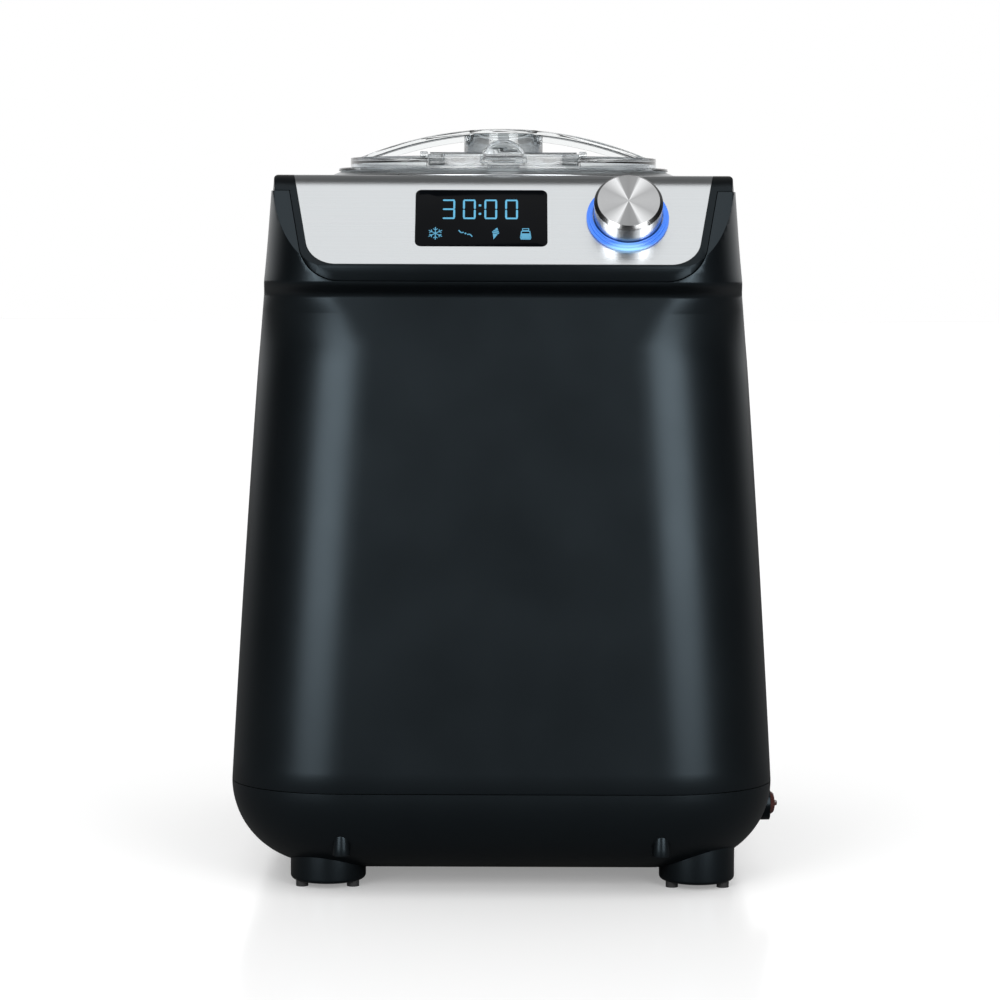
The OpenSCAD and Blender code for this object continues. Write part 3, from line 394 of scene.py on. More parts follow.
def brushing_group():
    """Lines of brushed or drawn metal, stretched along one axis."""
    tree, given, out = new_group("brushing", [("Stretch", "NodeSocketVector", (1.0, 1.0, 1.0))],
                                 [("Height", "NodeSocketFloat"), ("Tone", "NodeSocketFloat")])
    scaled = tree.nodes.new("ShaderNodeVectorMath")
    scaled.operation = "MULTIPLY"
    tree.links.new(object_vector(tree), scaled.inputs[0])
    tree.links.new(given.outputs[0], scaled.inputs[1])
    tree.links.new(noise(tree, scaled.outputs[0], 1.0, 3.0), out.inputs[0])
    tree.links.new(noise(tree, scaled.outputs[0], 0.35, 2.0), out.inputs[1])
    return tree


def dust_group():
    """Thin dust that gathers on faces turned upwards."""
    tree, given, out = new_group("settled_dust", [("Amount", "NodeSocketFloat", 0.1)],
                                 [("Mask", "NodeSocketFloat")])
    geometry = tree.nodes.new("ShaderNodeNewGeometry")
    split = tree.nodes.new("ShaderNodeSeparateXYZ")
    tree.links.new(geometry.outputs["Normal"], split.inputs[0])
    upward = math_node(tree, "MAXIMUM", split.outputs["Z"], 0.0)
    speckle = noise(tree, object_vector(tree), 900.0, 4.0)
    mask = math_node(tree, "MULTIPLY", math_node(tree, "MULTIPLY", upward, speckle), given.outputs[0])
    tree.links.new(mask, out.inputs[0])
    return tree


GRAIN, BRUSHING, DUST = grain_group(), brushing_group(), dust_group()


def use_group(tree, group, **values):
    node = tree.nodes.new("ShaderNodeGroup")
    node.node_tree = group
    for label, value in values.items():
        node.inputs[label.replace("_", " ")].default_value = value
    return node


def between(tree, factor, low, high):
    node = tree.nodes.new("ShaderNodeMapRange")
    tree.links.new(factor, node.inputs["Value"])
    node.inputs["From Min"].default_value, node.inputs["From Max"].default_value = 0.3, 0.7
    node.inputs["To Min"].default_value, node.inputs["To Max"].default_value = low, high
    return node.outputs[0]


def blend_colour(tree, factor, low, high):
    node = tree.nodes.new("ShaderNodeMix")
    node.data_type = "RGBA"
    tree.links.new(factor, node.inputs["Factor"])
    for key, value in (("A", low), ("B", high)):
        socket = [s for s in node.inputs if s.name == key and s.type == "RGBA"][0]
        if isinstance(value, bpy.types.NodeSocket):
            tree.links.new(value, socket)
        else:
            socket.default_value = (*value, 1.0)
    return [s for s in node.outputs if s.type == "RGBA"][0]


def finish_of(name, colour, rough, spread=0.1, dust=0.0, depth=0.00001, grain=3000.0, brush=None, metal=0.0,
              rough_spread=0.05, **sockets):
    """A procedural finish: grained, or brushed along brush, with a tone that varies over the piece."""
    material = bpy.data.materials.new(name)
    material.use_nodes = True
    tree = material.node_tree
    shader = tree.nodes["Principled BSDF"]
    if brush:
        pattern = use_group(tree, BRUSHING, Stretch=brush)
    else:
        pattern = use_group(tree, GRAIN, Grain_Scale=grain, Cloud_Scale=25.0)
    tone = pattern.outputs["Tone"]
    low = tuple(c * (1 - spread) for c in colour)
    high = tuple(min(1.0, c * (1 + spread)) for c in colour)
    paint = blend_colour(tree, between(tree, tone, 0.0, 1.0), low, high)
    if dust:
        film = use_group(tree, DUST, Amount=dust)
        paint = blend_colour(tree, film.outputs["Mask"], paint, (0.35, 0.35, 0.34))
    tree.links.new(paint, shader.inputs["Base Color"])
    tree.links.new(between(tree, tone, rough - rough_spread, rough + rough_spread), shader.inputs["Roughness"])
    shader.inputs["Metallic"].default_value = metal
    bump = tree.nodes.new("ShaderNodeBump")
    bump.inputs["Distance"].default_value = depth
    bump.inputs["Strength"].default_value = 1.0
    tree.links.new(pattern.outputs["Height"], bump.inputs["Height"])
    tree.links.new(bump.outputs[0], shader.inputs["Normal"])
    for label, value in sockets.items():
        shader.inputs[label.replace("_", " ")].default_value = value
    return material


def in_frame(tree, matrix):
    """Object coordinates seen from a turned and shifted frame, given in millimetres."""
    node = tree.nodes.new("ShaderNodeMapping")
    node.vector_type = "TEXTURE"
    tree.links.new(object_vector(tree), node.inputs["Vector"])
    node.inputs["Location"].default_value = matrix.translation * MM
    node.inputs["Rotation"].default_value = matrix.to_euler()
    return node.outputs[0]


def radius_and_height(tree, matrix):
    split = tree.nodes.new("ShaderNodeSeparateXYZ")
    tree.links.new(in_frame(tree, matrix), split.inputs[0])
    squares = [math_node(tree, "MULTIPLY", split.outputs[k], split.outputs[k]) for k in (0, 1)]
    radius = math_node(tree, "SQRT", math_node(tree, "ADD", *squares))
    return radius, split.outputs[2], split


def painted_sweep_reflection(tree, matrix, reflection_stops):
    """Painted reflection: light and dark wedges that change with the angle from upright, as studio light spreads over a
    faced metal disc.
    """
    radius, _, split = radius_and_height(tree, matrix)
    side = math_node(tree, "ABSOLUTE", split.outputs[0], 0.0)
    share = math_node(tree, "DIVIDE", side, math_node(tree, "MAXIMUM", radius, 0.0001))
    ramp = tree.nodes.new("ShaderNodeValToRGB")
    while len(ramp.color_ramp.elements) < len(reflection_stops):
        ramp.color_ramp.elements.new(0.5)
    for element, (place_at, tone) in zip(ramp.color_ramp.elements, reflection_stops):
        element.position = place_at
        element.color = (tone, tone, tone, 1.0)
    tree.links.new(share, ramp.inputs[0])
    return ramp.outputs[0]


def spun_finish(name, colour, rough, matrix, depth, lines, reflection_stops=((0.0, 1.0), (1.0, 1.0))):
    """Metal turned on a lathe: fine rings round the axis of the given frame, with a painted reflection sweep multiplied
    into its colour.
    """
    material = bpy.data.materials.new(name)
    material.use_nodes = True
    tree = material.node_tree
    shader = tree.nodes["Principled BSDF"]
    radius, height, _ = radius_and_height(tree, matrix)
    along = math_node(tree, "MULTIPLY", math_node(tree, "ADD", radius, height), lines)
    rings = noise(tree, along, 1.0, 2.0, "1D")
    slow = noise(tree, object_vector(tree), 60.0, 3.0)
    plain = blend_colour(tree, between(tree, slow, 0.0, 1.0), tuple(c * 0.95 for c in colour), colour)
    # Painted reflection: the plain colour is multiplied by the light and dark wedges of the sweep.
    tone = tree.nodes.new("ShaderNodeMix")
    tone.data_type, tone.blend_type = "RGBA", "MULTIPLY"
    tone.inputs[0].default_value = 1.0
    tree.links.new(plain, tone.inputs[6])
    tree.links.new(painted_sweep_reflection(tree, matrix, reflection_stops), tone.inputs[7])
    tree.links.new(tone.outputs[2], shader.inputs["Base Color"])
    tree.links.new(between(tree, rings, rough - 0.04, rough + 0.04), shader.inputs["Roughness"])
    shader.inputs["Metallic"].default_value = 1.0
    bump = tree.nodes.new("ShaderNodeBump")
    bump.inputs["Distance"].default_value = depth
    tree.links.new(rings, bump.inputs["Height"])
    tree.links.new(bump.outputs[0], shader.inputs["Normal"])
    return material


FINISHES = {}


def finish(slot):
    """The finish of a material slot, made the first time it is asked for."""
    if slot in FINISHES:
        return FINISHES[slot]
    scene = bpy.context.scene
    plastic = tuple(scene.icemaker_body.plastic)
    steel = tuple(scene.icemaker_panel.steel)
    made = {
        "body_plastic": lambda: finish_of(slot, plastic, 0.33, 0.06, 0.01, 0.000002, 2500.0,
                                          rough_spread=0.02, Specular_IOR_Level=0.5,
                                          Specular_Tint=(0.68, 0.87, 1.0, 1)),
        "frame_plastic": lambda: finish_of(slot, tuple(c * 0.8 for c in plastic), 0.3, 0.06, 0.01, 0.000002, 2500.0,
                                           rough_spread=0.02, Specular_IOR_Level=0.25,
                                           Specular_Tint=(0.68, 0.87, 1.0, 1)),
        "black_rubber": lambda: finish_of(slot, (0.018, 0.018, 0.019), 0.72, 0.12, 0.1, 0.00002, 1500.0),
        "panel_steel": lambda: finish_of(slot, steel, 0.3, 0.03, 0.0, 0.0000012, brush=(14, 5200, 5200), metal=1.0,
                                         rough_spread=0.03),
        "bright_steel": lambda: finish_of(slot, (0.62, 0.62, 0.63), 0.24, 0.05, 0.0, 0.000001,
                                          brush=(2500, 2500, 60), metal=1.0),
        # The knob's stops paint a bow-tie reflection: dark wedges above and below the axis, bright bands beside them.
        "spun_aluminium": lambda: spun_finish(
            slot, (0.86, 0.87, 0.88), 0.22, AT_KNOB, 0.00001, 6000.0,
            ((0.0, 0.34), (0.3, 0.38), (0.42, 0.98), (0.6, 0.8), (0.85, 0.5), (1.0, 0.56))),
        "bowl_aluminium": lambda: spun_finish(slot, (0.78, 0.79, 0.8), 0.3, AT_BOWL, 0.000012, 2500.0),
        "window_gloss": lambda: finish_of(slot, (0.0012, 0.0015, 0.002), 0.06, 0.2, 0.0, 0.0000002, 400.0,
                                          rough_spread=0.01, Specular_IOR_Level=0.06),
        "board_green": lambda: finish_of(slot, (0.02, 0.12, 0.045), 0.4, 0.25, 0.0, 0.00004, 900.0),
        "tube_copper": lambda: finish_of(slot, (0.72, 0.33, 0.2), 0.3, 0.12, 0.0, 0.000004, brush=(900, 900, 300),
                                         metal=1.0),
        "foam": lambda: finish_of(slot, (0.72, 0.66, 0.5), 0.9, 0.12, 0.0, 0.0004, 700.0),
        "black_enamel": lambda: finish_of(slot, (0.012, 0.012, 0.014), 0.22, 0.15, 0.15, 0.00002, 600.0),
        "motor_steel": lambda: finish_of(slot, (0.45, 0.46, 0.48), 0.34, 0.08, 0.0, 0.000004,
                                         brush=(1800, 1800, 90), metal=1.0),
        "pump_iron": lambda: finish_of(slot, (0.2, 0.2, 0.21), 0.6, 0.2, 0.0, 0.0002, 900.0, metal=0.9),
        "gear_plastic": lambda: finish_of(slot, (0.76, 0.72, 0.6), 0.45, 0.05, 0.0, 0.00001, 1800.0),
        "gear_brass": lambda: finish_of(slot, (0.72, 0.5, 0.2), 0.28, 0.08, 0.0, 0.000004, brush=(900, 900, 200),
                                        metal=1.0),
        "grey_plastic": lambda: finish_of(slot, (0.08, 0.085, 0.09), 0.5, 0.08, 0.0, 0.00001, 2000.0),
        "white_plastic": lambda: finish_of(slot, (0.78, 0.79, 0.8), 0.35, 0.03, 0.0, 0.000008, 2000.0),
        "rocker_plastic": lambda: finish_of(slot, (0.05, 0.016, 0.014), 0.25, 0.1, 0.0, 0.000004, 2200.0),
        "clear_lid": lambda: clear_finish(slot, tuple(scene.icemaker_lid.tint), 0.02),
        "clear_seal": lambda: finish_of(slot, (0.6, 0.63, 0.65), 0.4, 0.04, 0.0, 0.00001, 1500.0,
                                        Transmission_Weight=0.5),
        "light_blue": light_finish,
    }
    FINISHES[slot] = made[slot]()
    return FINISHES[slot]


def clear_finish(name, tint, rough):
    """Clear moulded plastic with faint flow marks, and painted shade: its colour darkens towards the rims, where the
    faces turn edge-on to the view.
    """
    material = bpy.data.materials.new(name)
    material.use_nodes = True
    tree = material.node_tree
    shader = tree.nodes["Principled BSDF"]
    flow = noise(tree, object_vector(tree), 35.0, 2.0)
    # Painted shade: the Facing weight darkens the tint where the faces turn away from the view.
    edge = tree.nodes.new("ShaderNodeLayerWeight")
    edge.inputs["Blend"].default_value = 0.4
    deep = tree.nodes.new("ShaderNodeMath")
    deep.operation = "MULTIPLY_ADD"
    tree.links.new(flow, deep.inputs[0])
    deep.inputs[1].default_value = 0.06
    tree.links.new(edge.outputs["Facing"], deep.inputs[2])
    tree.links.new(blend_colour(tree, deep.outputs[0], tint,
                                tuple(c * k for c, k in zip(tint, (0.2, 0.25, 0.3)))), shader.inputs["Base Color"])
    tree.links.new(between(tree, flow, rough, rough + 0.02), shader.inputs["Roughness"])
    shader.inputs["Transmission Weight"].default_value = 1.0
    shader.inputs["IOR"].default_value = 1.5
    return material


def light_finish():
    """Blue light guide, brightest at its lower edge."""
    material = bpy.data.materials.new("light_blue")
    material.use_nodes = True
    tree = material.node_tree
    shader = tree.nodes["Principled BSDF"]
    panel = bpy.context.scene.icemaker_panel
    radius, _, split = radius_and_height(tree, AT_KNOB)
    low = tree.nodes.new("ShaderNodeMapRange")
    low.interpolation_type = "SMOOTHERSTEP"
    tree.links.new(split.outputs[1], low.inputs["Value"])
    for key, value in (("From Min", -0.0155), ("From Max", -0.0205), ("To Min", 0.0), ("To Max", 1.0)):
        low.inputs[key].default_value = value
    glow = blend_colour(tree, low.outputs[0], tuple(panel.ring), tuple(panel.ring_hot))
    tree.links.new(glow, shader.inputs["Emission Color"])
    tree.links.new(blend_colour(tree, low.outputs[0], (0.04, 0.16, 0.62), (0.2, 0.5, 0.9)),
                   shader.inputs["Base Color"])
    shader.inputs["Emission Strength"].default_value = panel.ring_glow
    shader.inputs["Roughness"].default_value = 0.22
    return material


def glow_finish(name, colour, strength):
    """Lit display segments, whose glow varies a little at random over the window."""
    material = bpy.data.materials.new(name)
    material.use_nodes = True
    tree = material.node_tree
    shader = tree.nodes["Principled BSDF"]
    cloud = noise(tree, object_vector(tree), 300.0, 1.0)
    tone = between(tree, cloud, 0.0, 1.0)
    tree.links.new(blend_colour(tree, tone, tuple(c * 0.9 for c in colour), colour),
                   shader.inputs["Emission Color"])
    tree.links.new(blend_colour(tree, tone, tuple(c * 0.2 for c in colour), tuple(c * 0.25 for c in colour)),
                   shader.inputs["Base Color"])
    shader.inputs["Emission Strength"].default_value = strength
    shader.inputs["Roughness"].default_value = 0.3
    return material


# ---- Geometry node trees -------------------------------------------------------------------------------
def node_tree(name, inputs):
    tree = bpy.data.node_groups.new(name, "GeometryNodeTree")
    tree.interface.new_socket("Geometry", in_out="INPUT", socket_type="NodeSocketGeometry")
    for label, kind, value in inputs:
        socket = tree.interface.new_socket(label, in_out="INPUT", socket_type=kind)
        if value is not None:
            socket.default_value = value
    tree.interface.new_socket("Geometry", in_out="OUTPUT", socket_type="NodeSocketGeometry")
    given, out = tree.nodes.new("NodeGroupInput"), tree.nodes.new("NodeGroupOutput")
    real, paint = tree.nodes.new("GeometryNodeRealizeInstances"), tree.nodes.new("GeometryNodeSetMaterial")
    tree.links.new(real.outputs[0], paint.inputs["Geometry"])
    tree.links.new(given.outputs["Material"], paint.inputs["Material"])
    tree.links.new(paint.outputs[0], out.inputs[0])
    return tree, given, real.inputs[0]


def run_tree(name, tree, values, points=None, matrix=None):
    """Puts the tree on a new object, sets its inputs and returns the plain mesh object."""
    data = bpy.data.meshes.new(name)
    data.from_pydata(points or [(0, 0, 0)], [], [])
    obj = bpy.data.objects.new(name, data)
    bpy.context.scene.collection.objects.link(obj)
    mod = obj.modifiers.new("rule", "NODES")
    mod.node_group = tree
    keys = {s.name: s.identifier for s in tree.interface.items_tree if s.in_out == "INPUT"}
    for label, value in values.items():
        mod[keys[label]] = value
    settle(obj)
    if matrix is not None:
        obj.data.transform(matrix)
    if not obj.data.polygons:
        raise RuntimeError(f"the node tree of {name} made nothing")
    outward(obj)
    return obj


def screws_tree():
    """Round screw heads on every point of the mesh."""
    tree, given, end = node_tree("screw_heads", [
        ("Head Radius", "NodeSocketFloat", 0.003), ("Head Height", "NodeSocketFloat", 0.002),
        ("Turn", "NodeSocketVector", (0.0, 0.0, 0.0)), ("Material", "NodeSocketMaterial", None)])
    head = tree.nodes.new("GeometryNodeMeshCylinder")
    head.inputs["Vertices"].default_value = 24
    spread = tree.nodes.new("GeometryNodeInstanceOnPoints")
    to_rotation = tree.nodes.new("FunctionNodeEulerToRotation")
    tree.links.new(given.outputs["Head Radius"], head.inputs["Radius"])
    tree.links.new(given.outputs["Head Height"], head.inputs["Depth"])
    tree.links.new(given.outputs["Geometry"], spread.inputs["Points"])
    tree.links.new(head.outputs["Mesh"], spread.inputs["Instance"])
    tree.links.new(given.outputs["Turn"], to_rotation.inputs[0])
    tree.links.new(to_rotation.outputs[0], spread.inputs["Rotation"])
    tree.links.new(spread.outputs[0], end)
    return tree


def rows_tree():
    """Boxes in rows and columns: the slots of a vent, or the fins of a condenser."""
    tree, given, end = node_tree("rows_of_boxes", [
        ("Columns", "NodeSocketInt", 2), ("Rows", "NodeSocketInt", 10),
        ("Field", "NodeSocketVector", (0.05, 0.1, 0.0)), ("Box Size", "NodeSocketVector", (0.04, 0.004, 0.01)),
        ("Material", "NodeSocketMaterial", None)])
    split = tree.nodes.new("ShaderNodeSeparateXYZ")
    grid = tree.nodes.new("GeometryNodeMeshGrid")
    box = tree.nodes.new("GeometryNodeMeshCube")
    spread = tree.nodes.new("GeometryNodeInstanceOnPoints")
    tree.links.new(given.outputs["Field"], split.inputs[0])
    tree.links.new(split.outputs["X"], grid.inputs["Size X"])
    tree.links.new(split.outputs["Y"], grid.inputs["Size Y"])
    tree.links.new(given.outputs["Columns"], grid.inputs["Vertices X"])
    tree.links.new(given.outputs["Rows"], grid.inputs["Vertices Y"])
    tree.links.new(given.outputs["Box Size"], box.inputs["Size"])
    tree.links.new(grid.outputs["Mesh"], spread.inputs["Points"])
    tree.links.new(box.outputs["Mesh"], spread.inputs["Instance"])
    tree.links.new(spread.outputs[0], end)
    return tree


# ---- Body ----------------------------------------------------------------------------------------------
LEVELS = ([RIM_Z + SEAM_GAP + k * 10 for k in range(23)] + [CHIN_Z - 16 + 0.5 * k for k in range(33)]
          + [CHIN_Z + 4 + k * 4 for k in range(12)] + [DECK_Z + 2])


def under_profile(depth):
    return across("profile", profile(depth), FAR)


def crowned_profile(depth, flat=112.0, radius=3.0):
    """The side profile, rounded down beyond the arms of the frame."""
    drops = [(flat + radius * math.sin(math.radians(a)), radius * (1 - math.cos(math.radians(a))))
             for a in range(0, 81, 8)]
    stations = drops + [(FAR, drops[-1][1])]
    stations = [(-x, d) for x, d in reversed(stations)] + stations
    return loft("profile", [[(x, p[0], p[1]) for p in profile(depth + d)] for x, d in stations])


def slope_prism(side, foot, r, depth, height=60.0, top=30.0):
    return prism("slope", slope_outline(side, foot, r, top), -depth, height, ON_PANEL)


def deck_prism(grow, low, high):
    rear = rear_y(DECK_Z) - half_w(DECK_Z) + PANEL_HW
    return prism("deck", plan(PANEL_HW + grow, CREASE_Y - 12, rear + grow, PLAN_R - 10), low, high)


def body_solid(name, inset=0.0, steps=20):
    solid = loft(name, [body_ring(z, inset, steps) for z in LEVELS])
    return combine(solid, crowned_profile(inset), "INTERSECT")


def window_prism(grow, low, high, matrix=ON_PANEL):
    x, y = WINDOW_AT
    hw, hh = WINDOW[0] / 2 + grow, WINDOW[1] / 2 + grow
    outline = [(p[0] + x, p[1] + y) for p in plan(hw, -hh, hh, WINDOW[2], steps=8)]
    return prism("window", outline, low, high, matrix)


class ICEMAKER_OT_body(bpy.types.Operator):
    """Build the moulded body shell"""
    bl_idname = "icemaker.body"
    bl_label = "Body Shell"

    def execute(self, context):
        shell = body_solid("shell_skin")
        inner = body_solid("inner", WALL, 12)
        inner.data.transform(Matrix.Translation((0, 0, -0.1 * MM)))
        combine(shell, inner)
        combine(shell, slope_prism(ARM_W + SEAM_GAP, CHIN_W + SEAM_GAP, PANEL_R + 5, LIP_D + 2))
        combine(shell, block("above", (-FAR, -FAR, CAP_Z - SEAM_GAP / 2), (FAR, FAR, FAR)))
        combine(shell, block("rear_opening", (-62, 16, -20), (62, 192, 20), ON_REAR))
        bevel(shell, context.scene.icemaker_body.edge / MM, 45)
        place(shell, "housing", finish("body_plastic"), "body_plastic", "body_shell")
        return {"FINISHED"}


class ICEMAKER_OT_base(bpy.types.Operator):
    """Build the round-bottomed base pan with its bosses and feet"""
    bl_idname = "icemaker.base"
    bl_label = "Base and Feet"

    def execute(self, context):
        edge = [90 - 3 * k for k in range(31)]
        lip = [body_ring(RIM_Z, WALL + 0.2), body_ring(RIM_Z + 5.5, WALL + 0.2),
               body_ring(RIM_Z + 5.5, WALL + 1.9), body_ring(RIM_Z, WALL + 1.9)]
        pan = loft("pan_skin", [pan_ring(a) for a in edge] + lip
                   + [pan_ring(a, WALL, RIM_Z - 3) for a in reversed(edge)])
        for x in (-79.3, 79.3):
            for y in (FRONT_Y + 10, REAR_Y - 10):
                boss = turned("boss", soften([(0, 20), (4.5, 20), (4.5, 24), (3.5, 32), (1.8, 38), (0, 40.5)], 0.6),
                              Matrix.Translation((x, y, 0)), 40)
                combine(pan, boss, "UNION")
                combine(pan, rod("counterbore", 3.5, 19, 23, Matrix.Translation((x, y, 0)), 32))
        slots = run_tree("slots", rows_tree(), {"Columns": 8, "Rows": 1, "Field": (0.056, 0.0, 0.0),
                                                "Box Size": (0.004, 0.04, 0.01)},
                         matrix=Matrix.Translation((0.026 - 0.03 + 0.002 + 0.028, 0.056 + 0.016, 0.009)))
        combine(pan, slots)
        hole = rod("switch_hole", 8.8, -40, 40, Matrix.Translation((BODY_W / 2 - 20, -90, 37))
                   @ Matrix.Rotation(math.pi / 2, 4, "Y"))
        combine(pan, hole)
        place(pan, "housing", finish("body_plastic"), "body_plastic", "base_pan")
        feet = None
        cut_by = loft("under_pan", [pan_ring(a) for a in edge])
        cut_by.data.transform(Matrix.Translation((0, 0, -0.1 * MM)))
        for x in (-87.4, 98.8):
            for y in (FRONT_Y + 40, REAR_Y - 40):
                outline = [(0, 36), (0, 2.8)] + arc((17, 4.8), 2, 270, 360, 8) + [(19, 36)]
                foot = turned("foot", outline, Matrix.Translation((x, y, 0)), 96)
                feet = combine(feet, foot, "UNION") if feet else foot
        combine(feet, cut_by)
        feet.name = "feet_skin"
        place(feet, "housing", finish("body_plastic"), "body_plastic", "feet")
        pads = copy_node("foot_pads", "foot_pads_skin")
        place(pads, "housing", finish("black_rubber"), "black_rubber", "foot_pads", angle=None)
        return {"FINISHED"}


class ICEMAKER_OT_screws(bpy.types.Operator):
    """Set the screws of the base"""
    bl_idname = "icemaker.screws"
    bl_label = "Screws"

    def execute(self, context):
        tree = screws_tree()
        base = [(x * MM, y * MM, 21.7 * MM) for x in (-79.3, 79.3) for y in (FRONT_Y + 10, REAR_Y - 10)]
        heads = run_tree("base_screws_skin", tree, {"Head Radius": 0.0033, "Head Height": 0.0022,
                                                    "Material": finish("bright_steel")}, base)
        place(heads, "housing", finish("bright_steel"), "bright_steel", "base_screws")
        return {"FINISHED"}


class ICEMAKER_OT_rear(bpy.types.Operator):
    """Build the rear panel with its rows of slots, and the cord gland"""
    bl_idname = "icemaker.rear"
    bl_label = "Rear Panel"

    def execute(self, context):
        panel = block("rear_skin", (-67, 11, 0.1), (67, 197, 0.1 + WALL), ON_REAR)
        slots = run_tree("vents", rows_tree(), {"Columns": 2, "Rows": 14, "Field": (0.054, 0.143, 0.0),
                                                "Box Size": (0.046, 0.0045, 0.02)})
        slots.data.transform(Matrix.Translation((0, 0.042 + 0.00225 + 0.0715, 0)))
        slots.data.transform(Matrix.Scale(1 / MM, 4))
        slots.data.transform(ON_REAR)
        slots.data.transform(Matrix.Scale(MM, 4))
        combine(panel, slots)
        combine(panel, rod("gland_hole", 7.05, -5, 15, ON_REAR @ Matrix.Translation((-38, 28, 0))))
        bevel(panel, 0.4, 40)
        place(panel, "housing", finish("body_plastic"), "body_plastic", "rear_panel")
        gland = copy_node("cord_gland", "gland_skin")
        place(gland, "housing", finish("black_rubber"), "black_rubber", "cord_gland", angle=None)
        return {"FINISHED"}


class ICEMAKER_OT_frame(bpy.types.Operator):
    """Build the frame round the controls, the brushed steel panel and the deck ring"""
    bl_idname = "icemaker.frame"
    bl_label = "Frame, Panel and Deck"

    def execute(self, context):
        caps = [(CAP_Z, 0.0)] + [(DECK_Z - 1.8 + 1.8 * math.sin(math.radians(a)),
                                  1.8 * (1 - math.cos(math.radians(a)))) for a in range(0, 91, 15)]
        trim = loft("frame_skin", [body_ring(z, CAP_INSET + d) for z, d in caps])
        chin = loft("chin", [body_ring(z) for z in LEVELS])
        combine(chin, slope_prism(ARM_W, CHIN_W, PANEL_R + 5, LIP_D, 20, 12), "INTERSECT")
        combine(trim, chin, "UNION")
        combine(trim, crowned_profile(0), "INTERSECT")
        t = FRAME_T + SHEET
        hollow = loft("hollow", [body_ring(z, CAP_INSET + 3, 8) for z in (CAP_Z - 1, DECK_Z)])
        combine(hollow, slope_prism(ARM_W - t, CHIN_W - t, PANEL_R + 2, 200, 20, 12), "UNION")
        combine(hollow, under_profile(t), "INTERSECT")
        combine(trim, hollow)
        combine(trim, self.sheet_space(0.1))
        combine(trim, rod("opening", OPEN_R, 200, FAR, AT_BOWL, 128))
        combine(trim, window_prism(0.1, -10, 2))
        combine(trim, rod("knob_hole", 4.7, -12, 8, AT_KNOB))
        bevel(trim, 0.6, 45)
        place(trim, "housing", finish("frame_plastic"), "frame_plastic", "top_frame")
        sheet = self.sheet_space(0.0)
        sheet.name = "panel_skin"
        combine(sheet, under_profile(0), "INTERSECT")
        combine(sheet, rod("opening", OPEN_R, 200, FAR, AT_BOWL, 128))
        combine(sheet, window_prism(0.1, -10, 12))
        combine(sheet, rod("knob_hole", 4.7, -12, 8, AT_KNOB))
        place(sheet, "housing", finish("panel_steel"), "panel_steel", "steel_panel")
        z = DECK_Z
        ring = turned("deck_ring_skin", soften([
            (RIM_R - 2.7, z + 0.05), (RING_R, z + 0.05), (RING_R, z + 0.6), (RING_R - 6.2, z + 3.2),
            (RIM_R + 0.3, z + 3.2), (RIM_R + 0.3, SEAT_Z), (RIM_R - 2.7, SEAT_Z)], 0.3), AT_BOWL, 192)
        place(ring, "housing", finish("panel_steel"), "panel_steel", "deck_ring")
        return {"FINISHED"}

    @staticmethod
    def sheet_space(grow):
        space = slope_prism(grow, grow, PANEL_R + grow, 20, 20, 12)
        combine(space, deck_prism(grow, DECK_Z - 20, DECK_Z + 20), "UNION")
        return combine(space, under_profile(SHEET))


# ---- Controls ------------------------------------------------------------------------------------------
SEGMENTS = {"3": "abgcd", "0": "abcdef"}


def ribbon(points, width):
    """Flat strip of the given width along a route, as separate quads with square ends."""
    quads = []
    for p, q in zip(points, points[1:]):
        d = Vector(q) - Vector(p)
        side = Vector((-d[1], d[0])).normalized() * width / 2
        along = d.normalized() * width / 3
        quads.append([Vector(p) - along - side, Vector(q) + along - side, Vector(q) + along + side,
                      Vector(p) - along + side])
    return quads


def digit(symbol, x, y, w, h, t):
    """Lit bars of one seven-segment digit whose lower left corner is at x, y."""
    g, m = 0.12, y + h / 2
    across_bar = lambda yy: [(x + g, yy), (x + t / 2 + g, yy + t / 2), (x + w - t / 2 - g, yy + t / 2), (x + w - g, yy),
                             (x + w - t / 2 - g, yy - t / 2), (x + t / 2 + g, yy - t / 2)]
    upright = lambda xx, lo, hi: [(xx, lo + g), (xx + t / 2, lo + t / 2 + g), (xx + t / 2, hi - t / 2 - g),
                                  (xx, hi - g), (xx - t / 2, hi - t / 2 - g), (xx - t / 2, lo + t / 2 + g)]
    top, bottom, left, right = y + h - t / 2, y + t / 2, x + t / 2, x + w - t / 2
    shapes = {"a": across_bar(top), "g": across_bar(m), "d": across_bar(bottom), "b": upright(right, m, top),
              "c": upright(right, bottom, m), "e": upright(left, bottom, m), "f": upright(left, m, top)}
    return [shapes[k] for k in SEGMENTS[symbol]]


def snowflake(x, y, r):
    quads = []
    for k in range(6):
        a = math.radians(90 + 60 * k)
        tip = (x + r * math.cos(a), y + r * math.sin(a))
        quads += ribbon([(x, y), tip], 0.45)
        fork = (x + 0.55 * r * math.cos(a), y + 0.55 * r * math.sin(a))
        for s in (-1, 1):
            b = a + s * math.radians(50)
            quads += ribbon([fork, (fork[0] + 0.34 * r * math.cos(b), fork[1] + 0.34 * r * math.sin(b))], 0.4)
    return quads


def blade(x, y):
    quads = ribbon([(x - 3.2, y + 1.8), (x - 2.5, y + 0.8), (x - 1.9, y + 0.5), (x - 1.0, y + 0.6)], 0.6)
    quads += [arc((x, y), 0.5, 0, 330, 11)]
    return quads + ribbon([(x + 1.0, y - 0.6), (x + 1.9, y - 0.5), (x + 2.5, y - 0.8), (x + 3.2, y - 1.8)], 0.6)


def cone(x, y):
    turn = Matrix.Rotation(math.radians(-14), 2)
    shapes = [[(-1.25, -0.2), (0.0, -3.7), (1.25, -0.2)],
              [(-1.6, 0.1), (1.6, 0.1), (1.75, 0.9), (-1.75, 0.9)], [(-1.5, 1.15), (1.5, 1.15), (1.1, 1.95), (-1.2, 1.95)],
              [(-1.0, 2.2), (0.9, 2.2), (0.1, 3.6), (-0.5, 3.0)]]
    return [[Vector((x, y)) + turn @ Vector(p) for p in shape] for shape in shapes]


